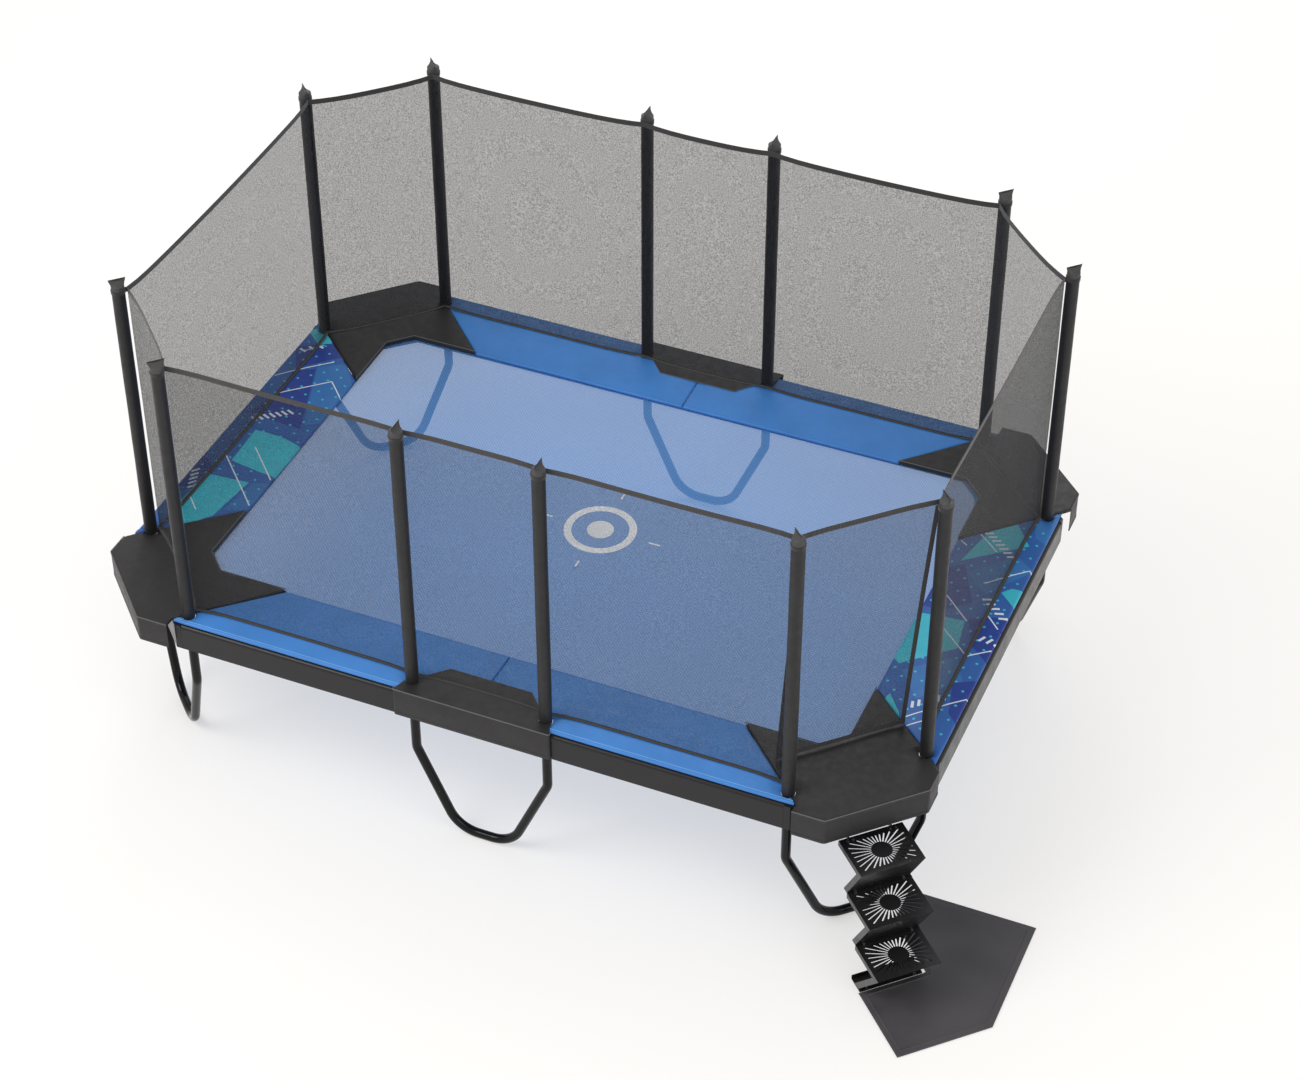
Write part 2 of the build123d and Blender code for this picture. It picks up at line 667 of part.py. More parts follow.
def ladder_bolt_places():
    """Middle and top of each bolt's head seat, and its length below it."""
    places = [(HANGER_BOLT_N, w + side * 14, STEP_Z, 14) for w in HANGER_W for side in (-1, 1)]
    for i in (1, 2):
        n, z = step_rear(i)
        places += [(n + 11, LADDER_W + side * 125, z + GAP + SHEET, 14) for side in (-1, 1)]
    places += [(FOOT_FRONT - LIP + 13, LADDER_W + side * 125, FOOT_THICK + GAP + SHEET, 6) for side in (-1, 1)]
    return places


def ladder_bolt(n, w, z, length):
    return rod((n, w, z - length), (n, w, z + GAP), 4) + rod((n, w, z + GAP), (n, w, z + 4), 8)


def hanger(w):
    """An arm that hooks over the bar and carries the top tread on a foot."""
    ring = rod((BAR_N, w - 4, BAR_Z), (BAR_N, w + 4, BAR_Z), 21)
    ring -= rod((BAR_N, w - 5, BAR_Z), (BAR_N, w + 5, BAR_Z), BAR_R + 0.5)
    ring -= box((BAR_N - 30, BAR_N - 4), (w - 5, w + 5), (BAR_Z - 30, BAR_Z - 2))
    top = STEP_Z - SHEET - GAP
    arm = [(BAR_N + 2, BAR_Z - 12), (BAR_N + 20, BAR_Z - 2), (STEP_N - 6, STEP_Z + 20),
           (STEP_N - 6, top), (STEP_N + 30, top), (STEP_N + 30, top - 6), (STEP_N - 26, top - 20)]
    seat = box((STEP_N + 1, STEP_N + 30), (w - 24, w + 24), (top - 6, top))
    part = ring + standing(arm, w - 4, w + 4) + seat
    for side in (-1, 1):
        part -= rod((HANGER_BOLT_N, w + side * 14, top - 10), (HANGER_BOLT_N, w + side * 14, top + 4), 4.4)
    return part


def ladder_bar():
    """The bar on the frame that the ladder hooks over, and its two lugs."""
    ends = (LADDER_W - 160, LADDER_W + 160)
    part = rod((BAR_N, ends[0], BAR_Z), (BAR_N, ends[1], BAR_Z), BAR_R)
    for w in ends:
        part += box((RAIL_N + GAP, BAR_N + 14), (w - 4, w + 4), (BAR_Z - 22, BAR_Z + 22))
    return part


def ladder_foot():
    """A foot plate with a turned-up rear edge."""
    part = box((FOOT_REAR, FOOT_FRONT), STEP_W, (0, FOOT_THICK))
    part += box((FOOT_REAR, FOOT_REAR + SHEET), STEP_W, (0, 26))
    for bolt_n, bolt_w, bolt_z, _ in ladder_bolt_places():
        if bolt_z < 20:
            part -= rod((bolt_n, bolt_w, -1), (bolt_n, bolt_w, 10), 4.4)
    return part


for i, name in enumerate(("top", "middle", "bottom")):
    save(f"ladder_step_{name}", to_corner(step(i)))
save("ladder_hangers", to_corner(group(hanger(w) for w in HANGER_W)))
save("ladder_foot", to_corner(ladder_foot()))
save("ladder_bolts", to_corner(group(ladder_bolt(*place) for place in ladder_bolt_places())))
save("ladder_bar", to_corner(ladder_bar()))


# ---------------------------------------------------------------- ground mat
def ground_mat():
    """A bent rubber mat that leads round the corner to the ladder."""
    n_in, w_low, x_in = FOOT_FRONT + 5, 271, 2235
    notch_w = STEP_W[1] + 16
    plan = [(x_in, -GROUND_MAT_Y), (GROUND_MAT_X, -GROUND_MAT_Y)]
    corners = [(GROUND_MAT_N, GROUND_MAT_X * ROOT2 - GROUND_MAT_N), (GROUND_MAT_N, w_low),
               (n_in, w_low), (n_in, notch_w), (x_in * ROOT2 - notch_w, notch_w)]
    plan += [((n + w) / ROOT2, (w - n) / ROOT2) for n, w in corners]
    bevel = [(n_in - 1, 0.8), (n_in + 22, 10), (n_in + 22, 11), (n_in - 1, 11)]
    return prism(plan, 0, 10) - to_corner(standing(bevel, w_low - 1, notch_w))


save("ground_mat", ground_mat())
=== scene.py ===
"""Looks of the rectangular garden trampoline: cloth, vinyl, webbing, springs and finishes on the CAD frame.

Metres, +Z up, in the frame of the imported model. Plans and paths are given about the bed's middle,
with the ground at z = 0; Shape.make() moves them into the frame.
"""
import json
import math

import bpy
import numpy as np
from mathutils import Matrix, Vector, noise
from mathutils.geometry import delaunay_2d_cdt


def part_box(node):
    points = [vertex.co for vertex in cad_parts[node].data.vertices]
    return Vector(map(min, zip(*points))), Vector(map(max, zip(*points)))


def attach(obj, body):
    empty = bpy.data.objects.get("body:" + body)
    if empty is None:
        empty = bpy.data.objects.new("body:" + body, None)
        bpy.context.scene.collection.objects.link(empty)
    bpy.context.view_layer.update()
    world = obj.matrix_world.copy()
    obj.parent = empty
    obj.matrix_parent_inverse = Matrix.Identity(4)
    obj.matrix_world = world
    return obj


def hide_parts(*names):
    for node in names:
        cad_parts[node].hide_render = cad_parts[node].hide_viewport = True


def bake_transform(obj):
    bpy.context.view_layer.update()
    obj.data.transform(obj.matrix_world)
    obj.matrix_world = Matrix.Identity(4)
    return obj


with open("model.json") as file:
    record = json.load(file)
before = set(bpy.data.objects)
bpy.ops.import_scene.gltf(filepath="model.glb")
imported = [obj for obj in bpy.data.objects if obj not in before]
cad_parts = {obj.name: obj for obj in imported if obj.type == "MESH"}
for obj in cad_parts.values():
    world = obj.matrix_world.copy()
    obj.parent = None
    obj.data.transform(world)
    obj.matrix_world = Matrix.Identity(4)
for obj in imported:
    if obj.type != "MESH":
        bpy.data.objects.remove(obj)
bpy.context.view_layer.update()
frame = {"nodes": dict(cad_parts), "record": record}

NODES = frame["nodes"]
ROOT2 = math.sqrt(2)
UP = Vector((0, 0, 1))


# ---------------------------------------------------------------- measures read from the frame
BED_LOW, BED_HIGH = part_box("jumping_mat")
MIDDLE = Vector(((BED_LOW.x + BED_HIGH.x) / 2, (BED_LOW.y + BED_HIGH.y) / 2, 0))


def reach(node, x, y):
    """How far a CAD node reaches from the bed's middle in the plan direction (x, y)."""
    away = Vector((x, y, 0)).normalized()
    return max((v.co - MIDDLE).dot(away) for v in NODES[node].data.vertices)


def top_of(node):
    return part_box(node)[1].z


def low_of(node):
    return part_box(node)[0].z


MAT_TOP = BED_HIGH.z
MAT_X, MAT_Y, MAT_N = (reach("jumping_mat", *d) for d in ((1, 0), (0, 1), (1, 1)))
RAIL_X, RAIL_Y = reach("rail_right", 1, 0), reach("rail_back_right", 0, 1)
RAIL_N = reach("corner_rail_back_right", 1, 1)
RAIL_WIDE = 0.048
PAD_X, PAD_Y, PAD_TOP = reach("pad_right", 1, 0), reach("pad_back_right", 0, 1), top_of("pad_right")
PAD_IN_X, PAD_IN_Y = -reach("pad_right", -1, 0), -reach("pad_back_right", 0, -1)
COVER_X, COVER_Y = reach("corner_cover_back_right", 1, 0), reach("corner_cover_back_right", 0, 1)
COVER_IN_N = 1.915           # reach of the covers' inner edge along the corner's diagonal
COVER_END_X, COVER_END_Y = 1.655, 1.055     # where a corner cover's skirt ends on each side
COVER_CUT_X, COVER_CUT_Y = 0.165, 0.133     # its straight run before the cut-off corner
COVER_TOP, COVER_LOW = top_of("corner_cover_back_right"), low_of("corner_cover_back_right")
MIDDLE_COVER_X, MIDDLE_COVER_Y = reach("middle_cover_back", 1, 0), reach("middle_cover_back", 0, 1)
MIDDLE_COVER_LOW = low_of("middle_cover_back")
NET_SHEET = 0.001            # half the thickness of the CAD net
NET_Y, NET_X = reach("net_back", 0, 1) - NET_SHEET, reach("net_right", 1, 0) - NET_SHEET
NET_N = reach("net_corner_back_right", 1, 1) - NET_SHEET
NET_LOW, NET_TOP = low_of("net_back"), top_of("net_back")
HEM_LOW, HEM_TOP = low_of("top_hem"), top_of("top_hem")
SLEEVE_LOW, SLEEVE_TOP = low_of("pole_sleeves"), top_of("pole_sleeves")

TUBE_R = 0.024
SLEEVE_R = 0.033
NOTCH_R = 0.035
QUARTERS = {"front_left": (-1, -1), "front_right": (1, -1), "back_left": (-1, 1), "back_right": (1, 1)}


def pole_plan():
    """Plan points of the three poles in the +X +Y quarter, from the legs' own boxes."""
    low, high = (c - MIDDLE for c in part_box("leg_back_right"))
    mid_low, mid_high = (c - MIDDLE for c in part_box("leg_back_middle"))
    mid_pole = (mid_high.x - TUBE_R, (mid_low.y + mid_high.y) / 2)
    return mid_pole, (low.x + TUBE_R, high.y - TUBE_R), (high.x - TUBE_R, low.y + TUBE_R)


MID_POLE, LONG_POLE, SHORT_POLE = pole_plan()
POLES = [(sx * x, sy * y) for x, y in (MID_POLE, LONG_POLE, SHORT_POLE) for sx in (-1, 1) for sy in (-1, 1)]


def octagon(x, y, n):
    """Corners of a rectangle with cut corners, from its reach along X, Y and the diagonal."""
    quarter = [(n * ROOT2 - y, y), (x, n * ROOT2 - x)]
    right = quarter + [(a, -b) for a, b in reversed(quarter)]
    return right + [(-a, b) for a, b in reversed(right)]


def corner_point(n, w, z=0.0):
    """A point in the ladder corner's axes: n outwards, w along the corner towards +X."""
    return Vector(((n + w) / ROOT2, (w - n) / ROOT2, z))


# ---------------------------------------------------------------- camera, light and floor
def add_camera():
    camera = bpy.data.objects.new("camera", bpy.data.cameras.new("camera"))
    bpy.context.collection.objects.link(camera)
    camera.location = (4.650, -10.676, 10.810)
    target = Vector((-0.569, 1.585, -0.328))
    camera.rotation_euler = (target - camera.location).to_track_quat("-Z", "Y").to_euler()
    camera.data.lens = 83.3
    camera.data.clip_end = 100
    bpy.context.scene.camera = camera


def add_light(name, place, size, watts, colour=(1, 1, 1)):
    lamp = bpy.data.lights.new(name, "AREA")
    lamp.size, lamp.energy, lamp.color = size, watts, colour
    lamp_object = bpy.data.objects.new(name, lamp)
    bpy.context.collection.objects.link(lamp_object)
    lamp_object.location = place
    lamp_object.rotation_euler = (-Vector(place)).to_track_quat("-Z", "Y").to_euler()


def add_studio():
    """A pale floor, a bright even sky and three large soft lamps."""
    bpy.context.scene.view_settings.view_transform = "Standard"
    world = bpy.data.worlds.new("studio")
    bpy.context.scene.world = world
    world.use_nodes = True
    world.node_tree.nodes["Background"].inputs["Color"].default_value = (1, 1, 1, 1)
    world.node_tree.nodes["Background"].inputs["Strength"].default_value = 0.72
    add_light("key", (-7, -7, 11), 7, 750)
    add_light("fill", (9, -6, 8), 8, 300)
    add_light("rim", (-3, 10, 9), 8, 400)
    half = 300
    floor = bpy.data.meshes.new("floor")
    corners = [(-half, -half, 0), (half, -half, 0), (half, half, 0), (-half, half, 0)]
    floor.from_pydata(corners, [], [(0, 1, 2, 3)])
    floor.materials.append(floor_paint())
    floor_object = bpy.data.objects.new("floor", floor)
    bpy.context.collection.objects.link(floor_object)
    floor_object.location.z = -0.002


# ---------------------------------------------------------------- materials
def floor_paint():
    """A white studio floor with a little light of its own, which keeps the shadows faint."""
    made = bpy.data.materials.new("floor")
    made.use_nodes = True
    shader = made.node_tree.nodes["Principled BSDF"]
    shader.inputs["Base Color"].default_value = (0.508, 0.489, 0.464, 1)
    shader.inputs["Roughness"].default_value = 0.95
    shader.inputs["Emission Color"].default_value = (1, 1, 1, 1)
    shader.inputs["Emission Strength"].default_value = 0.47
    return made


class Paint:
    """A Principled material whose colour, roughness and bump come from procedural nodes."""

    def __init__(self, name, rough=0.5, metal=0.0, **sockets):
        self.material = bpy.data.materials.new(name)
        self.material.use_nodes = True
        self.tree = self.material.node_tree
        self.shader = self.tree.nodes["Principled BSDF"]
        self.shader.inputs["Roughness"].default_value = rough
        self.shader.inputs["Metallic"].default_value = metal
        for socket, value in sockets.items():
            self.shader.inputs[socket.replace("_", " ")].default_value = value
        self.place = self.node("ShaderNodeTexCoord").outputs["Object"]
        self.height = None

    def node(self, kind, links=None, **settings):
        made = self.tree.nodes.new(kind)
        for key, value in settings.items():
            setattr(made, key, value)
        for socket, source in (links or {}).items():
            if isinstance(source, bpy.types.NodeSocket):
                self.tree.links.new(source, made.inputs[socket])
            else:
                made.inputs[socket].default_value = source
        return made

    def noise(self, scale, detail=4.0):
        links = {"Vector": self.place, "Scale": scale, "Detail": detail}
        return self.node("ShaderNodeTexNoise", links).outputs["Fac"]

    def bands(self, pitch, turn):
        """Parallel ridges, one every pitch, across X of the turned coordinates."""
        turned = self.node("ShaderNodeMapping", {"Vector": self.place, "Rotation": turn}).outputs["Vector"]
        links = {"Vector": turned, "Scale": 1 / (pitch * 3.1831), "Distortion": 0.0, "Detail": 1.0}
        return self.node("ShaderNodeTexWave", links, bands_direction="X").outputs["Fac"]

    def maths(self, operation, first, second):
        return self.node("ShaderNodeMath", {0: first, 1: second}, operation=operation).outputs[0]

    def spread(self, value, low, high, start=0.0, end=1.0):
        links = {"Value": value, "From Min": start, "From Max": end, "To Min": low, "To Max": high}
        return self.node("ShaderNodeMapRange", links).outputs["Result"]

    def colour(self, value, *stops):
        """Base colour from a ramp of (position, (r, g, b)) stops that the value runs along."""
        ramp = self.node("ShaderNodeValToRGB", {"Fac": value})
        elements = ramp.color_ramp.elements
        while len(elements) < len(stops):
            elements.new(0.5)
        for element, (position, shade) in zip(elements, stops):
            element.position = position
            element.color = (*shade, 1)
        self.tree.links.new(ramp.outputs["Color"], self.shader.inputs["Base Color"])
        return self

    def mottle(self, shade, amount=0.12, scale=6.0, detail=6.0):
        """A base colour that drifts a little lighter and darker over the surface."""
        low = tuple(c * (1 - amount) for c in shade)
        high = tuple(min(1.0, c * (1 + amount)) for c in shade)
        return self.colour(self.noise(scale, detail), (0.3, low), (0.7, high))

    def rough(self, low, high, scale=30.0):
        result = self.spread(self.noise(scale), low, high, 0.3, 0.7)
        self.tree.links.new(result, self.shader.inputs["Roughness"])
        return self

    def raise_by(self, value, height):
        """Adds the value, times a height in millimetres, to what the bump reads."""
        part = self.maths("MULTIPLY", value, height)
        self.height = part if self.height is None else self.maths("ADD", self.height, part)
        return self

    def done(self):
        if self.height is not None:
            bump = self.node("ShaderNodeBump", {"Height": self.height, "Distance": 0.001, "Strength": 1.0})
            self.tree.links.new(bump.outputs["Normal"], self.shader.inputs["Normal"])
        return self.material


def vinyl(name, shade, gloss=0.42, amount=0.07):
    """Coated cloth: a fine pebble grain and faint drift of colour, with a soft sheen."""
    paint = Paint(name, Specular_IOR_Level=0.38, Sheen_Weight=0.08, Sheen_Roughness=0.4)
    paint.mottle(shade, amount, 5.0)
    paint.rough(gloss - 0.06, gloss + 0.10, 25.0)
    paint.raise_by(paint.noise(420.0, 3.0), 0.35)
    paint.raise_by(paint.noise(14.0, 3.0), 1.6)
    return paint.done()


def webbing(name, shade):
    """Woven strap: ribs along and across, and fuzzy sheen."""
    paint = Paint(name, Sheen_Weight=0.35, Sheen_Roughness=0.5, Specular_IOR_Level=0.25)
    ribs = paint.maths("MULTIPLY", paint.bands(0.0030, (0, 0, 0.6)), paint.bands(0.0042, (0, 1.2, -0.6)))
    dark = tuple(c * 0.6 for c in shade)
    patchy = paint.maths("ADD", ribs, paint.spread(paint.noise(40.0), -0.3, 0.3))
    paint.colour(patchy, (0.15, dark), (0.75, shade))
    paint.rough(0.75, 0.95)
    paint.raise_by(ribs, 0.5)
    return paint.done()


def steel(name, shade, gloss, coat, shine):
    """Powder-coated steel: orange-peel bump, gloss that drifts, and small scuffs to a lighter tone."""
    paint = Paint(name, Coat_Weight=coat, Coat_Roughness=0.12, Specular_IOR_Level=shine)
    scuff = paint.maths("MULTIPLY", paint.noise(9.0, 8.0), paint.noise(90.0, 6.0))
    paint.colour(scuff, (0.0, shade), (0.40, tuple(c * 1.15 for c in shade)), (0.52, (0.10, 0.10, 0.105)))
    paint.rough(gloss - 0.05, gloss + 0.08, 18.0)
    paint.raise_by(paint.noise(700.0, 2.0), 0.05)
    return paint.done()


def net_cloth(name, shade, alpha):
    """Knitted net: its knots stop more light than its open cells, which makes a fine speckle; the same noise
    also paints the denser spots lighter, a painted highlight on the threads.
    """
    paint = Paint(name, rough=0.85, Specular_IOR_Level=0.1, Sheen_Weight=0.1)
    speckle_and_thread_highlight = paint.noise(150.0, 2.0)
    # painted highlight: the ramp's light end colours the denser spots as if light caught the threads
    paint.colour(speckle_and_thread_highlight, (0.36, tuple(c * 0.4 for c in shade)), (0.68, tuple(c * 1.8 for c in shade)))
    density = paint.spread(speckle_and_thread_highlight, alpha - 0.13, alpha + 0.13, 0.34, 0.66)
    paint.tree.links.new(density, paint.shader.inputs["Alpha"])
    return paint.done()


def bed_cloth():
    """Polypropylene weave of the jumping mat: a fine diagonal twill, partly seen through."""
    paint = Paint("mat_cloth", Alpha=0.80, Sheen_Weight=0.25, Sheen_Roughness=0.35, Specular_IOR_Level=0.35)
    twill = paint.maths("MULTIPLY", paint.bands(0.013, (0, 0, 0.7854)), paint.bands(0.013, (0, 0, -0.7854)))
    drift = paint.spread(paint.noise(1.6, 3.0), -0.10, 0.10)
    paint.colour(paint.maths("ADD", twill, drift), (0.0, (0.068, 0.225, 0.550)), (0.9, (0.168, 0.395, 0.860)))
    paint.rough(0.5, 0.65)
    paint.raise_by(twill, 0.7)
    return paint.done()


def rubber(name, shade):
    paint = Paint(name, Specular_IOR_Level=0.4)
    paint.mottle(shade, 0.18, 3.0, 8.0)
    paint.rough(0.52, 0.72, 12.0)
    paint.raise_by(paint.noise(260.0, 4.0), 0.5)
    paint.raise_by(paint.noise(5.0, 2.0), 2.0)
    return paint.done()


def spring_wire():
    paint = Paint("spring_zinc", metal=1.0)
    paint.mottle((0.62, 0.63, 0.64), 0.15, 60.0)
    paint.rough(0.24, 0.42, 90.0)
    return paint.done()


BLUE = vinyl("blue_vinyl", (0.044, 0.205, 0.565))
# Light blue welt cord near a pad's outer edge: a real cord, its light blue a painted highlight of that edge.
BLUE_WELT_PAINTED_HIGHLIGHT = vinyl("blue_welt_painted_highlight", (0.20, 0.42, 0.74), 0.5)
PRINT_BASE = vinyl("print_blue", (0.022, 0.115, 0.40))
PRINT_NAVY = vinyl("print_navy", (0.012, 0.045, 0.29))
PRINT_MID = vinyl("print_mid_blue", (0.030, 0.165, 0.46))
PRINT_CYAN = vinyl("print_cyan", (0.040, 0.50, 0.64))
PRINT_WHITE = vinyl("print_white", (0.72, 0.80, 0.86))
BLACK = vinyl("black_vinyl", (0.0205, 0.0190, 0.0203), 0.48, 0.12)
# Light grey of the covers' piping cords: a real cord, its light grey a painted highlight of the fold where a
# cover's top turns down.
PIPING_PAINTED_HIGHLIGHT = vinyl("piping_painted_highlight", (0.11, 0.105, 0.105), 0.45)
SLEEVE = vinyl("sleeve_cloth", (0.0140, 0.0130, 0.0140), 0.5, 0.12)
SLEEVE_CAP = vinyl("sleeve_cap", (0.050, 0.048, 0.049), 0.5, 0.12)
HEM = webbing("hem_webbing", (0.052, 0.048, 0.046))
STRAP = webbing("black_webbing", (0.028, 0.027, 0.028))
THREAD = webbing("thread", (0.14, 0.14, 0.145))
NET = net_cloth("net_cloth", (0.020, 0.020, 0.022), 0.66)
SHEER_NET = net_cloth("sheer_net", (0.014, 0.014, 0.016), 0.38)
COARSE_NET = net_cloth("coarse_net", (0.014, 0.014, 0.016), 0.33)
BED = bed_cloth()
MARK = vinyl("mat_mark", (0.80, 0.84, 0.88), 0.6)
RUBBER = rubber("mat_rubber", (0.064, 0.0600, 0.0640))
FRAME_STEEL = steel("frame_steel", (0.0115, 0.0103, 0.0115), 0.34, 0.20, 0.22)
GLOSS_STEEL = steel("gloss_steel", (0.0035, 0.0033, 0.0036), 0.14, 0.14, 0.16)
LADDER_STEEL = steel("ladder_steel", (0.0115, 0.0108, 0.0117), 0.34, 0.2, 0.35)
ZINC = spring_wire()
PLASTIC = rubber("black_plastic", (0.03, 0.03, 0.032))


# ---------------------------------------------------------------- mesh building
def smooth(t):
    """0 to 1 with level ends."""
    t = np.clip(t, 0, 1)
    return t * t * (3 - 2 * t)


class Shape:
    """Vertices and faces collected for one piece, about the bed's middle."""

    def __init__(self):
        self.points = []
        self.faces = []
        self.paints = []

    def add(self, points, faces, paint=0):
        first = len(self.points)
        self.points += [tuple(p) for p in points]
        self.faces += [[first + i for i in face] for face in faces]
        self.paints += paint if isinstance(paint, list) else [paint] * len(faces)

    def grid(self, rows, paint=0, closed=False):
        """Quads between rows of equal length; closed joins each row's end to its start."""
        wide = len(rows[0])
        span = wide if closed else wide - 1
        faces = []
        for r in range(len(rows) - 1):
            for c in range(span):
                a, b = r * wide + c, r * wide + (c + 1) % wide
                faces.append((a, b, b + wide, a + wide))
        self.add([p for row in rows for p in row], faces, paint)

    def lofted(self, rings, paint=0, ends=True):
        """A closed skin through rings of points, capped at both ends."""
        wide = len(rings[0])
        self.grid(rings, paint, closed=True)
        if ends:
            first = len(self.points) - wide * len(rings)
            last = len(self.points) - wide
            self.faces += [[first + i for i in reversed(range(wide))], [last + i for i in range(wide)]]
            self.paints += [paint, paint]

    def swept(self, path, section, paint=0, closed=False, up=UP):
        """A section of (across, up) offsets carried along a path, kept upright."""
        path = [Vector(p) for p in path]
        count = len(path)
        rings = []
        for i, point in enumerate(path):
            before = path[(i - 1) % count] if closed or i else point
            after = path[(i + 1) % count] if closed or i < count - 1 else point
            along = (after - before).normalized()
            across = along.cross(up).normalized()
            lift = across.cross(along)
            stretch = 1.0
            if before != point and after != point:
                half = (point - before).normalized().dot(along)
                stretch = 1 / max(half, 0.5)
            rings.append([point + across * a * stretch + lift * b for a, b in section])
        if closed:
            rings.append(rings[0])
        self.lofted(rings, paint, ends=not closed)

    def make(self, name, materials, body="frame", stands_for=(), flip=(1, 1), sharp=35):
        """The finished object, in the frame, riding on its body."""
        sx, sy = flip
        points = [(sx * x + MIDDLE.x, sy * y + MIDDLE.y, z) for x, y, z in self.points]
        turned = sx * sy < 0
        faces = [face[::-1] if turned else face for face in self.faces]
        mesh = bpy.data.meshes.new(name)
        mesh.from_pydata(points, [], faces)
        for paint in materials:
            mesh.materials.append(paint)
        mesh.polygons.foreach_set("material_index", self.paints)
        mesh.validate()
        mesh.shade_smooth()
        mesh.set_sharp_from_angle(angle=math.radians(sharp))
        piece = bpy.data.objects.new(name, mesh)
        bpy.context.collection.objects.link(piece)
        if body:
            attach(piece, body)
        if stands_for:
            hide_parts(*stands_for)
        return piece

    def make_padded(self, name, materials, node, flip=(1, 1), sharp=35):
        """A finished padded piece that stands for a CAD node."""
        piece = self.make(name, materials, stands_for=(node,), flip=flip, sharp=sharp)


def round_section(radius, sides=8):
    turns = [2 * math.pi * i / sides for i in range(sides)]
    return [(radius * math.cos(t), radius * math.sin(t)) for t in turns]


def flat_section(wide, high):
    """A strap's section, with softened corners."""
    w, h = wide / 2, high / 2
    soft = min(w, h) * 0.5
    corners = [(w, -h + soft), (w, h - soft), (w - soft, h), (-w + soft, h)]
    return corners + [(-a, -b) for a, b in corners]


def along(a, b, count):
    a, b = Vector(a), Vector(b)
    return [a.lerp(b, i / (count - 1)) for i in range(count)]


def stitches(shape, path, pitch=0.008, paint=1, up=UP):
    """A row of short raised threads along a path of points."""
    wide, high = 0.0012, 0.0009
    for a, b in zip(path, path[1:]):
        a, b = Vector(a), Vector(b)
        count = max(1, round((b - a).length / pitch))
        step = (b - a) / count
        side = step.cross(up).normalized() * wide / 2
        lift = side.cross(step).normalized() * high
        lift = lift if lift.dot(up) > 0 else -lift
        for i in range(count):
            start, end = a + step * (i + 0.15), a + step * (i + 0.8)
            crown = [start.lerp(end, t) + lift for t in (0.25, 0.75)]
            points = [start - side, start + side, end + side, end - side, *crown]
            faces = [(0, 1, 4), (1, 2, 5, 4), (2, 3, 5), (3, 0, 4, 5), (3, 2, 1, 0)]
            shape.add(points, faces, paint)


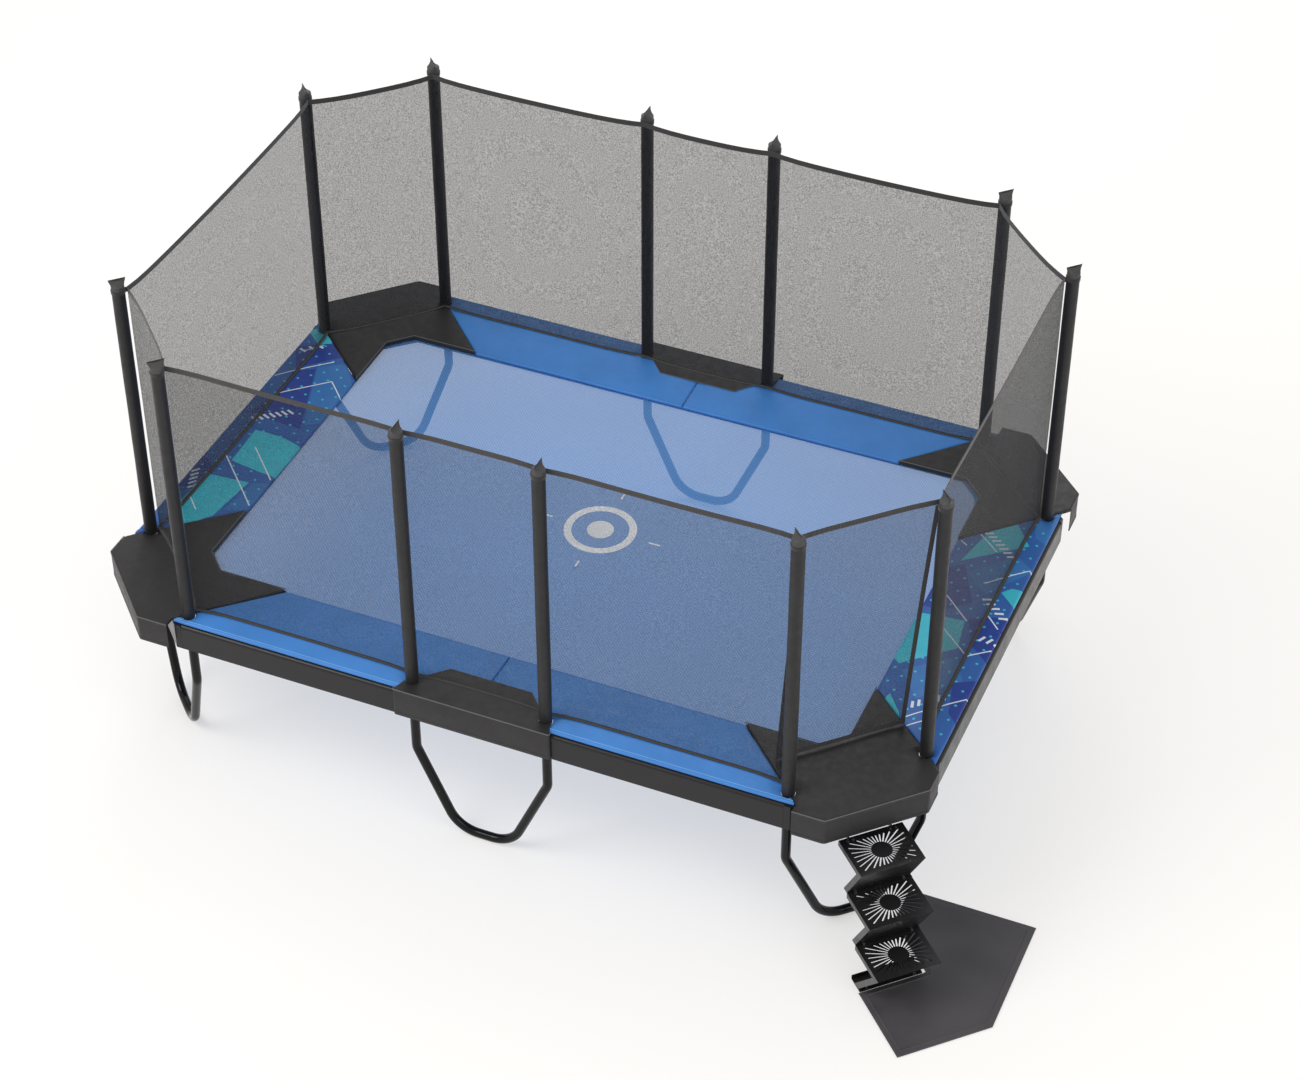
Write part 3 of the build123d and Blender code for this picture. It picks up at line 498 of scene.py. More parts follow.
# ---------------------------------------------------------------- plans of pads and covers
class Plan:
    """A polygon with round bites and holes cut from it at the poles."""

    def __init__(self, corners, bites=POLES, radius=NOTCH_R):
        self.corners = np.array(corners, float)
        low, high = self.corners.min(0) - radius, self.corners.max(0) + radius
        self.bites = [np.array(b) for b in bites if np.all(low < b) and np.all(np.array(b) < high)]
        self.radius = radius
        self.edges = np.array(self.polygon_edges() + self.bite_edges())

    def in_polygon(self, points, corners=None):
        corners = self.corners if corners is None else np.array(corners, float)
        x, y = points[:, 0], points[:, 1]
        hit = np.zeros(len(points), bool)
        for (x0, y0), (x1, y1) in zip(corners, np.roll(corners, -1, 0)):
            if y0 != y1:
                hit ^= ((y0 > y) != (y1 > y)) & (x < (x1 - x0) * (y - y0) / (y1 - y0) + x0)
        return hit

    def clear(self, points):
        """Which points lie outside every bite."""
        ok = np.ones(len(points), bool)
        for bite in self.bites:
            ok &= np.hypot(*(points - bite).T) > self.radius
        return ok

    def crossings(self, a, b, bite):
        """Where the line a to b crosses a bite, as shares of its length."""
        d, f = b - a, a - bite
        square, twice, rest = d @ d, 2 * f @ d, f @ f - self.radius ** 2
        inside = twice ** 2 - 4 * square * rest
        if inside <= 0:
            return []
        found = [(-twice + s * math.sqrt(inside)) / (2 * square) for s in (-1, 1)]
        return [t for t in found if 0 < t < 1]

    def polygon_edges(self, step=0.014):
        edges = []
        for a, b in zip(self.corners, np.roll(self.corners, -1, 0)):
            shares = list(np.linspace(0, 1, max(2, int(np.linalg.norm(b - a) / step) + 1)))
            for bite in self.bites:
                shares += self.crossings(a, b, bite)
            points = a + np.sort(shares)[:, None] * (b - a)
            middles = (points[1:] + points[:-1]) / 2
            edges += [(p, q) for p, q, ok in zip(points, points[1:], self.clear(middles)) if ok]
        return edges

    def bite_edges(self, sides=28):
        edges = []
        for bite in self.bites:
            turns = list(np.linspace(0, 2 * math.pi, sides, endpoint=False))
            for a, b in zip(self.corners, np.roll(self.corners, -1, 0)):
                for t in self.crossings(a, b, bite):
                    x, y = a + t * (b - a) - bite
                    turns.append(math.atan2(y, x) % (2 * math.pi))
            turns = np.sort(turns)
            turns = np.append(turns, turns[0] + 2 * math.pi)
            points = bite + self.radius * np.column_stack((np.cos(turns), np.sin(turns)))
            middles = (points[1:] + points[:-1]) / 2
            ok = self.in_polygon(middles)
            edges += [(q, p) for p, q, good in zip(points, points[1:], ok) if good]
        return edges

    def depth(self, points):
        """Distance of each point from the plan's edge."""
        a, b = self.edges[:, 0], self.edges[:, 1]
        d = b - a
        length = np.maximum((d ** 2).sum(1), 1e-12)
        found = []
        for chunk in np.array_split(points, max(1, len(points) // 400)):
            t = ((chunk[:, None] - a) * d).sum(2) / length
            nearest = a + np.clip(t, 0, 1)[..., None] * d
            found.append(np.sqrt(((chunk[:, None] - nearest) ** 2).sum(2)).min(1))
        return np.concatenate(found)

    def filling(self, rings, step):
        """Points on lines that follow the edge at each ring's depth, and a staggered grid inside."""
        a, b = self.edges[:, 0], self.edges[:, 1]
        d = b - a
        inward = np.column_stack((-d[:, 1], d[:, 0])) / np.maximum(np.hypot(*d.T), 1e-9)[:, None]
        beside = (a + b) / 2 + inward * 1e-4
        flip = np.where(self.in_polygon(beside) & self.clear(beside), 1, -1)
        inward *= flip[:, None]
        meeting = {}
        for point, way in zip(np.concatenate((a, b)).round(6), np.concatenate((inward, inward))):
            meeting.setdefault(tuple(point), []).append(way)
        starts = np.array(list(meeting))
        means = np.array([np.mean(ways, axis=0) for ways in meeting.values()])
        mitred = means / np.maximum((means ** 2).sum(1), 0.2)[:, None]
        found = []
        for ring in rings:
            points = starts + mitred * ring
            found.append(points[self.depth(points) > ring * 0.97])
        low, high = self.corners.min(0), self.corners.max(0)
        ys = np.arange(low[1], high[1], step * 0.87)
        xs = np.arange(low[0], high[0], step)
        grid = np.array([(x + (i % 2) * step / 2, y) for i, y in enumerate(ys) for x in xs])
        found.append(grid[self.depth(grid) > rings[-1] + step * 0.4])
        found = np.concatenate(found)
        return found[self.in_polygon(found) & self.clear(found)]

    def triangles(self, rings, step, drawn=()):
        """Plan points and triangles that keep to the edge and to the drawn polygons' sides."""
        index = {}
        points = []

        def spot(p):
            key = (round(float(p[0]), 6), round(float(p[1]), 6))
            if key not in index:
                index[key] = len(points)
                points.append(Vector(key))
            return index[key]

        lines = [(spot(a), spot(b)) for a, b in self.edges]
        for p in self.filling(rings, step):
            spot(p)
        for polygon in drawn:
            for a, b in zip(polygon, polygon[1:] + polygon[:1]):
                count = max(2, int((Vector(b) - Vector(a)).length / step) + 2)
                chain = [spot(p) for p in along(a, b, count)]
                lines += list(zip(chain, chain[1:]))
        lines = [line for line in lines if line[0] != line[1]]
        made = delaunay_2d_cdt(points, lines, [], 0, 1e-6)
        flat = np.array([tuple(v) for v in made[0]])
        faces = np.array([f for f in made[2]])
        centres = flat[faces].mean(1)
        faces = faces[self.in_polygon(centres) & self.clear(centres)]
        used = np.unique(faces)
        renumber = np.zeros(len(flat), int)
        renumber[used] = np.arange(len(used))
        return flat[used], renumber[faces]


RIM_RINGS = (0.0012, 0.004, 0.009, 0.018)


def facing_up(flat, faces):
    """The triangles of a plan, each turned to face upwards."""
    a, b, c = flat[faces].transpose(1, 0, 2)
    ccw = ((b - a)[:, 0] * (c - a)[:, 1] - (b - a)[:, 1] * (c - a)[:, 0]) > 0
    return np.where(ccw[:, None], faces, faces[:, ::-1])


def slab(shape, plan, top, bottom, rounding=0.009, step=0.03, drawn=(), paint=None, rings=RIM_RINGS):
    """A padded sheet over a plan, its edge rounded; top and bottom give heights from (x, y, depth)."""
    flat, faces = plan.triangles(rings, step, drawn)
    depth = plan.depth(flat)
    x, y = flat.T
    upper, lower = top(x, y, depth), bottom(x, y, depth)
    middle = (upper + lower) / 2
    rise = np.sqrt(1 - (1 - np.clip(depth / rounding, 0, 1)) ** 2)
    rim = depth < 1e-5
    rise[rim] = 0
    count = len(flat)
    under = np.arange(count)
    under[~rim] = count + np.arange((~rim).sum())
    upper_points = np.column_stack((flat, middle + (upper - middle) * rise))
    lower_points = np.column_stack((flat, middle - (middle - lower) * rise))[~rim]
    paints = np.zeros(len(faces), int) if paint is None else paint(flat[faces].mean(1))
    faces = facing_up(flat, faces)
    below = under[faces[:, ::-1]]
    shape.add(np.concatenate((upper_points, lower_points)), np.concatenate((faces, below)).tolist(),
              np.concatenate((paints, np.zeros(len(faces), int))).tolist())


def creases(x, y, seed, size=0.0016):
    """Soft wrinkles of cloth over foam, the same on every run."""
    heights = [noise.fractal((px * 3.1 + seed, py * 3.1, seed * 1.7), 0.9, 2.1, 4) for px, py in zip(x, y)]
    return size * np.array(heights)


def rounded_path(points, radius, sides=5):
    """A path whose corners are replaced by short arcs."""
    points = [Vector(p) for p in points]
    made = [points[0]]
    for before, corner, after in zip(points, points[1:], points[2:]):
        start = corner + (before - corner).normalized() * radius
        end = corner + (after - corner).normalized() * radius
        for i in range(sides + 1):
            t = i / sides
            made.append(start.lerp(corner, t).lerp(corner.lerp(end, t), t))
    return made + [points[-1]]


def flat_path(points, z):
    return [(x, y, z) for x, y in points]


# ---------------------------------------------------------------- long pads
PAD_THICK = 0.020
SEAM = 0.001                 # half the gap where two pads meet
SLOPE_DROP = 0.015           # how much lower a pad's inner edge lies than its top
CORNER_IN_LONG = LONG_POLE[0] - (LONG_POLE[1] - PAD_IN_Y)
CORNER_IN_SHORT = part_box("corner_cover_back_right")[0].y - MIDDLE.y


def pad_fall(across, net_line, inner):
    """How far below its top a pad lies: it slopes down from the net's line to its inner edge."""
    return SLOPE_DROP * np.clip((net_line - across) / (net_line - inner), 0, 1)


def pad_top(across, net_line, inner, x, y, depth, seed):
    pressed = 0.003 * np.exp(-(((across - net_line) / 0.014) ** 2))
    crown = 0.0035 * smooth(depth / 0.09)
    return PAD_TOP - pad_fall(across, net_line, inner) + crown - pressed + creases(x, y, seed)


def long_pad(name, sx, sy, seed):
    def top(x, y, depth):
        return pad_top(y, NET_Y, PAD_IN_Y, x, y, depth, seed)

    def bottom(x, y, depth):
        return PAD_TOP - PAD_THICK - pad_fall(y, NET_Y, PAD_IN_Y)

    bevel = 0.009
    run = CORNER_IN_LONG - PAD_IN_Y - SEAM
    end = (PAD_Y - bevel + run, PAD_Y - bevel)
    plan = Plan([(SEAM, PAD_IN_Y), (PAD_IN_Y + run, PAD_IN_Y), end,
                 (end[0] - bevel / 3, PAD_Y), (SEAM, PAD_Y)])
    shape = Shape()
    slab(shape, plan, top, bottom)
    # the welt cord along the outer edge, in the light blue painted highlight
    welt_y = PAD_Y - 0.015
    xs = np.linspace(SEAM + 0.012, end[0] - 0.012, 60)
    ys = np.full(len(xs), welt_y)
    heights = top(xs, ys, plan.depth(np.column_stack((xs, ys))))
    shape.swept([(x, welt_y, z + 0.0002) for x, z in zip(xs, heights)], flat_section(0.0030, 0.0018), 1)
    row_y = PAD_IN_Y + 0.011
    points = np.array([p.xy for p in along((SEAM + 0.01, row_y, 0), (PAD_IN_Y + run - 0.02, row_y, 0), 50)])
    lifted = top(*points.T, plan.depth(points))
    stitches(shape, [(x, y, z) for (x, y), z in zip(points, lifted)], paint=2)
    shape.make_padded(f"{name}_cloth", [BLUE, BLUE_WELT_PAINTED_HIGHLIGHT, PRINT_BASE], name, (sx, sy))


# ---------------------------------------------------------------- printed short pads
DOT_R = 0.0080
DOT_STEP = (0.104, 0.054)
RIGHT_PRINT = {
    "cyan": [
        [(1.87, 0.76), (1.97, 0.85), (2.09, 0.68), (1.80, 0.45)],
        [(2.07, 0.28), (2.11, 0.33), (2.17, 0.34), (2.17, 0.19)],
        [(1.72, 0.00), (1.97, 0.01), (2.00, -0.20), (1.77, -0.40), (1.72, -0.36)],
        [(1.80, -0.62), (1.89, -0.74), (1.93, -0.86), (1.78, -0.70)],
    ],
    "navy": [
        [(1.98, 0.03), (2.17, 0.12), (2.17, -0.25), (2.06, -0.16)],
        [(1.72, 0.36), (1.83, 0.43), (1.96, 0.16), (1.83, 0.04), (1.72, 0.06)],
        [(2.06, -0.45), (2.17, -0.38), (2.17, -0.72), (2.11, -0.66)],
    ],
    "mid": [
        [(1.86, 0.37), (2.06, 0.58), (2.17, 0.50), (2.00, 0.24)],
        [(1.80, -0.44), (2.02, -0.26), (2.10, -0.42), (1.93, -0.62)],
        [(2.05, 0.90), (2.17, 1.02), (2.17, 0.72), (2.10, 0.76)],
    ],
    "lines": [
        [(1.97, 0.32), (2.15, 0.50), (2.17, 0.48)], [(2.06, -0.24), (2.16, -0.15)],
        [(1.89, -0.08), (2.06, -0.24)], [(1.82, 0.17), (1.98, 0.01)], [(2.14, 0.01), (2.06, 0.09)],
        [(1.92, -0.76), (2.16, -0.53), (2.17, -0.54)], [(1.95, -0.81), (2.02, -0.75)],
        [(1.83, 0.69), (1.95, 0.58)], [(1.75, 0.61), (1.79, 0.58)],
    ],
    "marks": [((1.95, 0.64), -42, 0.22), ((2.08, 0.15), -42, 0.16),
              ((2.13, -0.09), 0, 0.08), ((1.98, -0.62), 40, 0.20)],
}
LEFT_PRINT = {
    "cyan": [
        [(2.10, 1.00), (2.00, 0.85), (2.06, 0.80), (2.17, 0.90)],
        [(2.01, -0.01), (1.87, 0.00), (1.72, -0.03), (1.72, -0.31), (1.82, -0.31), (2.00, -0.29)],
        [(2.06, -0.44), (1.83, -0.41), (1.87, -0.72), (1.98, -0.86), (2.08, -0.70)],
    ],
    "navy": [
        [(2.17, 0.74), (1.99, 0.85), (1.88, 0.77), (2.07, 0.56)],
        [(2.07, 0.54), (1.97, 0.60), (1.80, 0.10), (1.98, 0.10), (2.12, 0.12), (2.06, 0.31)],
        [(2.17, -0.30), (2.05, -0.38), (2.10, -0.60), (2.17, -0.66)],
    ],
    "mid": [
        [(1.97, 0.62), (1.84, 0.72), (1.72, 0.55), (1.72, 0.20), (1.80, 0.14)],
        [(1.72, -0.36), (1.81, -0.40), (1.84, -0.66), (1.72, -0.60)],
    ],
    "lines": [
        [(2.11, 0.72), (2.03, 0.81)], [(2.15, 0.46), (1.91, 0.70)],
        [(2.06, 0.32), (1.84, 0.54), (1.73, 0.43)], [(2.05, -0.26), (1.74, -0.57)],
        [(1.94, -0.14), (1.74, -0.34)], [(2.07, -0.62), (1.97, -0.72)],
    ],
    "marks": [((1.99, 0.14), -42, 0.20), ((2.11, -0.50), 70, 0.14), ((2.08, 0.76), -42, 0.10)],
}


def bar(a, b, wide):
    """A thin straight bar as a polygon."""
    a, b = Vector(a), Vector(b)
    side = (b - a).normalized().orthogonal() * wide / 2
    return [tuple(p) for p in (a - side, b - side, b + side, a + side)]


def slanted_bars(centre, angle, length):
    """A generic mark of short slanted bars in a row."""
    turn = math.radians(angle)
    run = Vector((math.cos(turn), math.sin(turn)))
    lean = Vector((math.cos(turn + 1.1), math.sin(turn + 1.1))) * 0.023
    count = max(3, round(length / 0.030))
    starts = [Vector(centre) + run * length * (i / (count - 1) - 0.5) for i in range(count)]
    return [bar(p - lean, p + lean, 0.014) for p in starts]


def dots(plan, taken):
    """Small hexagons on a staggered lattice, kept clear of the edge and of the large shapes."""
    step_x, step_y = DOT_STEP
    found = []
    for row in range(-20, 21):
        for column in range(6):
            x = PAD_IN_X + 0.03 + step_x * (column + (row % 2) / 2)
            found.append((x, row * step_y))
    found = np.array(found)
    ok = plan.in_polygon(found) & plan.clear(found)
    ok[ok] &= plan.depth(found[ok]) > 0.02
    for polygon in taken:
        ok &= ~plan.in_polygon(found, polygon)
    turns = [math.radians(60 * i) for i in range(6)]
    return [[(x + DOT_R * math.cos(t), y + DOT_R * math.sin(t)) for t in turns] for x, y in found[ok]]


def print_layers(plan, prints):
    """Polygons of a pad's print with the number of their paint, the later ones on top."""
    bars = [bar(a, b, 0.007) for line in prints["lines"] for a, b in zip(line, line[1:])]
    for mark in prints["marks"]:
        bars += slanted_bars(*mark)
    spots = dots(plan, prints["cyan"] + bars)
    return [(prints["mid"], 1), (prints["navy"], 2), (prints["cyan"], 3), (spots, 3), (bars, 4)]


def short_pad(name, sx, prints, seed):
    def top(x, y, depth):
        seam = 0.0025 * np.exp(-((y / 0.004) ** 2))
        return pad_top(x, NET_X, PAD_IN_X, x, y, depth, seed) - seam

    def bottom(x, y, depth):
        return PAD_TOP - PAD_THICK - pad_fall(x, NET_X, PAD_IN_X)

    slope = (SHORT_POLE[1] - CORNER_IN_SHORT) / (SHORT_POLE[0] - PAD_IN_X)
    y_in, y_out = CORNER_IN_SHORT - 2 * SEAM, SHORT_POLE[1] + (PAD_X - SHORT_POLE[0]) * slope - 2 * SEAM
    plan = Plan([(PAD_IN_X, -y_in), (PAD_X, -y_out), (PAD_X, y_out), (PAD_IN_X, y_in)])
    layers = print_layers(plan, prints)
    seam_line = [bar((PAD_IN_X - 0.01, y), (PAD_X + 0.01, y), 0.003) for y in (-0.004, 0.004)]

    def paint(centres):
        paints = np.zeros(len(centres), int)
        for polygons, number in layers:
            for polygon in polygons:
                paints[plan.in_polygon(centres, polygon)] = number
        return paints

    shape = Shape()
    drawn = [polygon for polygons, _ in layers for polygon in polygons] + seam_line
    slab(shape, plan, top, bottom, step=0.026, drawn=drawn, paint=paint)
    row = np.array([(PAD_IN_X + 0.011, y) for y in np.linspace(-y_in + 0.02, y_in - 0.02, 60)])
    heights = top(*row.T, plan.depth(row))
    stitches(shape, [(x, y, z) for (x, y), z in zip(row, heights)], paint=5)
    materials = [PRINT_BASE, PRINT_MID, PRINT_NAVY, PRINT_CYAN, PRINT_WHITE, BLUE]
    shape.make_padded(f"{name}_cloth", materials, name, (sx, 1))


# ---------------------------------------------------------------- covers
SKIRT = 0.003
PIPING_R = 0.0028


def skirt(shape, path, low, high, paint=0):
    """A hanging wall of cloth with a folded hem at its foot, outer face on the path."""
    points = rounded_path(flat_path(path, 0), 0.012)
    wall = [(0, low), (0, high - 0.002), (-0.001, high), (-SKIRT, high), (-SKIRT, low)]
    hem = [(0.0012, low), (0.0012, low + 0.016), (-SKIRT - 0.001, low + 0.016), (-SKIRT - 0.001, low)]
    shape.swept(points, wall, paint)
    shape.swept(points, hem, paint)


# A cord along a cover's edge in paint 1, the light grey painted highlight of that fold.
def piping_painted_highlight(shape, path, z, paint=1):
    points = rounded_path(flat_path(path, z), 0.010)
    shape.swept(points, round_section(PIPING_R), paint)


def corner_cover(name, sx, sy, seed):
    x_in, y_in = PAD_IN_X, PAD_IN_Y
    inner = [(CORNER_IN_LONG + 2 * SEAM, y_in), (COVER_IN_N * ROOT2 - y_in, y_in),
             (x_in, COVER_IN_N * ROOT2 - x_in), (x_in, CORNER_IN_SHORT)]
    outer = [(COVER_X, COVER_END_Y), (COVER_X, COVER_END_Y + COVER_CUT_Y),
             (COVER_END_X + COVER_CUT_X, COVER_Y), (COVER_END_X, COVER_Y)]
    outward = Vector((LONG_POLE[1] - SHORT_POLE[1], SHORT_POLE[0] - LONG_POLE[0])).normalized()

    def beyond_poles(x, y):
        return (x - LONG_POLE[0]) * outward.x + (y - LONG_POLE[1]) * outward.y

    def top(x, y, depth):
        inside = smooth(-beyond_poles(x, y) / 0.25)
        return COVER_TOP - 0.001 + 0.003 * smooth(depth / 0.1) - 0.004 * inside + creases(x, y, seed, 0.0022)

    def bottom(x, y, depth):
        return MAT_TOP + 0.006 + 0.013 * smooth((beyond_poles(x, y) + 0.02) / 0.04)

    plan = Plan(inner + [(SHORT_POLE[0], SHORT_POLE[1] + 2 * SEAM), (PAD_X, PAD_Y - 0.5)] + outer
                + [(COVER_END_X, PAD_Y - 0.004), (LONG_POLE[0] + 2 * SEAM, LONG_POLE[1])])
    shape = Shape()
    slab(shape, plan, top, bottom, rounding=0.007, step=0.034)
    skirt(shape, outer, COVER_LOW, COVER_TOP - 0.008)
    piping_painted_highlight(shape, outer, COVER_TOP - 0.003)
    piping_painted_highlight(shape, inner, COVER_TOP - 0.006)
    for z in (COVER_LOW + 0.013, COVER_TOP - 0.016):
        stitches(shape, rounded_path(flat_path(outer, z), 0.012), paint=2, up=Vector((1, 1, 0)).normalized())
    shape.make_padded(f"{name}_cloth", [BLACK, PIPING_PAINTED_HIGHLIGHT, THREAD], name, (sx, sy))


MIDDLE_COVER_FLAP = [(0.330, 1.430), (0.302, 1.400), (0.217, 1.308)]     # the half plan inside the net


def middle_cover(name, sy, seed):
    edge = MIDDLE_COVER_Y
    half = [(MIDDLE_COVER_X, edge), (MIDDLE_COVER_X - 0.031, MID_POLE[1])] + MIDDLE_COVER_FLAP
    plan = Plan(half + [(-x, y) for x, y in reversed(half)])

    def top(x, y, depth):
        lift = 0.0025 * smooth((NET_Y + 0.03 - y) / 0.03)
        return COVER_TOP - pad_fall(y, NET_Y, PAD_IN_Y) + lift + creases(x, y, seed, 0.0012)

    def bottom(x, y, depth):
        return top(x, y, depth) - 0.0036

    shape = Shape()
    slab(shape, plan, top, bottom, rounding=0.002, step=0.03)
    wrap = RAIL_Y + 0.002
    around = [(MIDDLE_COVER_X, wrap), (MIDDLE_COVER_X, edge),
              (-MIDDLE_COVER_X, edge), (-MIDDLE_COVER_X, wrap)]
    skirt(shape, around, MIDDLE_COVER_LOW, COVER_TOP - 0.003)
    piping_painted_highlight(shape, around, COVER_TOP - 0.001)
    inner = half[3:] + [(-x, y) for x, y in reversed(half[3:])]
    heights = [COVER_TOP + 0.0025 - float(pad_fall(y, NET_Y, PAD_IN_Y)) for _, y in inner]
    # the flap's inner edge cord, in the same light grey painted highlight
    shape.swept([(x, y, z) for (x, y), z in zip(inner, heights)], round_section(0.0018), 1)
    end_x, row_y, row_z = MIDDLE_COVER_X - 0.01, edge + 0.0012, MIDDLE_COVER_LOW + 0.013
    row = along((-end_x, row_y, row_z), (end_x, row_y, row_z), 30)
    stitches(shape, row, paint=2, up=Vector((0, 1, 0)))
    shape.make_padded(f"{name}_cloth", [BLACK, PIPING_PAINTED_HIGHLIGHT, THREAD], name, (1, sy))


# ---------------------------------------------------------------- pole sleeves
CAP_HIGH = 0.038             # height of the pressed flat top
CAP_WIDE = 0.043             # half the width of its seam
SLEEVE_SIDES = 32


def outward_at(x, y):
    """The plan direction that a pole's station faces."""
    if abs(x) < 1:
        return Vector((0, math.copysign(1, y)))
    lean = Vector((LONG_POLE[1] - SHORT_POLE[1], SHORT_POLE[0] - LONG_POLE[0])).normalized()
    return Vector((math.copysign(lean.x, x), math.copysign(lean.y, y)))


def ring_round(x, y, out, section):
    """A ring round a pole from a section that gives (outwards, sideways, z) at each turn."""
    side = Vector((-out.y, out.x))
    ring = []
    for i in range(SLEEVE_SIDES):
        ahead, aside, z = section(2 * math.pi * i / SLEEVE_SIDES)
        ring.append((x + out.x * ahead + side.x * aside, y + out.y * ahead + side.y * aside, z))
    return ring


def sleeve_tube(x, y, out):
    """Rings of the padded tube, with small dents in its foam."""
    levels = [(SLEEVE_LOW, -0.0015), (SLEEVE_LOW + 0.004, 0.0)]
    levels += [(z, 0.0) for z in np.linspace(SLEEVE_LOW + 0.05, SLEEVE_TOP - CAP_HIGH - 0.03, 40)]
    for z, grow in levels:
        def section(turn):
            dent = noise.noise((x * 5 + math.cos(turn), y * 5 + math.sin(turn), z * 4.2)) * 0.0009
            r = SLEEVE_R + grow + dent
            return r * math.cos(turn), r * math.sin(turn), z

        yield ring_round(x, y, out, section)


def sleeve_cap(x, y, out):
    """Rings that press the sleeve's top into a flat seam."""
    for share in (0.0, 0.12, 0.3, 0.5, 0.7, 0.85, 0.95, 1.0):
        wide = SLEEVE_R + (CAP_WIDE - SLEEVE_R) * smooth(share) ** 0.8
        thin = SLEEVE_R + (0.0022 - SLEEVE_R) * math.sin(share * math.pi / 2) ** 0.9

        def section(turn):
            dip = 0.010 * share * (1 - math.cos(turn) ** 2)
            fold = 0.0012 * math.sin(6 * turn) * share * (1 - share)
            z = SLEEVE_TOP - CAP_HIGH + CAP_HIGH * share - dip
            return wide * math.cos(turn), (thin + fold) * math.sin(turn), z

        yield ring_round(x, y, out, section)


def sleeve(number, x, y):
    out = outward_at(x, y)
    side = Vector((-out.y, out.x))
    tube = list(sleeve_tube(x, y, out))
    shape = Shape()
    shape.lofted(tube + list(sleeve_cap(x, y, out)))
    first = SLEEVE_SIDES * (len(tube) - 1)
    shape.paints[first:-2] = [1] * (len(shape.paints) - 2 - first)
    top_row = [Vector((x, y, SLEEVE_TOP - 0.012 + 0.006 * t * t)) + (out * CAP_WIDE * 0.86 * t).to_3d()
               for t in np.linspace(-1, 1, 12)]
    for face in (-1, 1):
        row = [p + (side * face * 0.0052).to_3d() for p in top_row]
        stitches(shape, row, pitch=0.006, paint=2, up=(side * face).to_3d())
    materials = [SLEEVE, SLEEVE_CAP, THREAD]
    shape.make_padded(f"sleeve_{number:02d}", materials, "pole_sleeves", sharp=50)


# ---------------------------------------------------------------- jumping mat
BORDER = 0.050
MARK_RINGS = ((0.150, 0.190), (0.0, 0.070))     # inner and outer radius of the ring and the disc
MARK_TICK = (0.27, 0.335)                       # where each tick starts and ends


def jumping_mat():
    shape = Shape()
    corners = octagon(MAT_X, MAT_Y, MAT_N)
    plan = Plan(corners, bites=())
    flat, faces = plan.triangles((0.01, 0.05), 0.06)
    depth = plan.depth(flat)
    sag = 0.008 * smooth(depth / 1.1)
    z = MAT_TOP - sag
    shape.add(np.column_stack((flat, z)), facing_up(flat, faces).tolist())
    piece = shape.make("mat_cloth_sheet", [BED], "bed", ("jumping_mat",))


def mat_webbing():
    """The border strap under the mat's edge and the thread rows that hold it."""
    shape = Shape()
    middle = BORDER / 2
    path = flat_path(octagon(MAT_X - middle, MAT_Y - middle, MAT_N - middle), MAT_TOP - 0.0030)
    shape.swept(path, flat_section(BORDER, 0.0022), 0, closed=True)
    for inset in (0.006, 0.020, 0.034, 0.046):
        row = flat_path(octagon(MAT_X - inset, MAT_Y - inset, MAT_N - inset), MAT_TOP)
        stitches(shape, row + row[:1], pitch=0.012, paint=1)
    shape.make("mat_webbing", [STRAP, THREAD], "bed", ("mat_border",))


def mat_mark():
    """A generic centre mark: a ring round a disc, and four ticks."""
    shape = Shape()
    z = MAT_TOP - 0.0072
    high = 0.0004
    for inner, outer in MARK_RINGS:
        turns = [2 * math.pi * i / 64 for i in range(64)]
        rings = [[(r * math.cos(t), r * math.sin(t), h) for t in turns]
                 for r, h in ((outer, z - high), (outer, z + high), (inner, z + high), (inner, z - high))]
        if inner:
            shape.lofted(rings + rings[:1], ends=False)
        else:
            shape.lofted(rings[:2])
    for quarter in range(4):
        turn = math.radians(90 * quarter)
        run = Vector((math.cos(turn), math.sin(turn), 0))
        ends = [run * r + UP * z for r in MARK_TICK]
        shape.swept(ends, flat_section(0.010, 2 * high))
    shape.make("mat_mark", [MARK], "bed")


# ---------------------------------------------------------------- springs
SPRING_PITCH = 0.088
SPRING_FIRST = 0.044         # from the side's middle to the first spring
SPRING_PAST_POLE = 0.402     # and to the first one beyond a long side's middle pole
WIRE_R = 0.0018
COIL_R = 0.0092
COIL_PITCH = 0.0075
SPRING_Z = (low_of("bed_springs") + top_of("bed_springs")) / 2


def spring(shape, near, far, z):
    """A coil spring from the ring at near to the frame lip at far, with a hook at each end."""
    near, far = Vector((*near, z)), Vector((*far, z))
    run = (far - near).normalized()
    side = run.cross(UP)
    length = (far - near).length
    start, end = 0.034, length - 0.028
    steps = int((end - start) / COIL_PITCH * 8)
    hook = ((0.0, -0.004), (0.003, 0.006), (0.012, 0.0085), (0.026, 0.0085))
    path = [near + run * ahead + UP * up for ahead, up in hook]
    for i in range(steps + 1):
        turn = 2 * math.pi * i / 8
        taper = 0.55 + 0.45 * min(1, i / 10, (steps - i) / 10)
        path.append(near + run * (start + (end - start) * i / steps)
                    + (side * math.sin(turn) + UP * math.cos(turn)) * COIL_R * taper)
    lip = ((-0.018, 0.0085), (-0.006, 0.0085), (0.0, 0.004), (0.001, -0.010))
    path += [far + run * ahead + UP * up for ahead, up in lip]
    rings = []
    for i, point in enumerate(path):
        before, after = path[max(0, i - 1)], path[min(len(path) - 1, i + 1)]
        tangent = (after - before).normalized()
        flat = tangent.cross(run)
        flat = flat.normalized() if flat.length > 0.1 else side
        lift = flat.cross(tangent)
        rings.append([point + (flat * c + lift * s) * WIRE_R for c, s in ((1, 0), (0, 1), (-1, 0), (0, -1))])
    shape.lofted(rings)


def spring_group(name, start, step, offsets, out, reach_out):
    """The springs of one side, stretched from the bed to the frame."""
    shape = Shape()
    for offset in offsets:
        near = Vector(start) + Vector(step) * offset + Vector(out) * 0.004
        far = near + Vector(out) * (reach_out - 0.022)
        spring(shape, near, far, SPRING_Z)
    piece = shape.make(name, [ZINC], None, ("bed_springs",), sharp=60)
    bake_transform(piece)


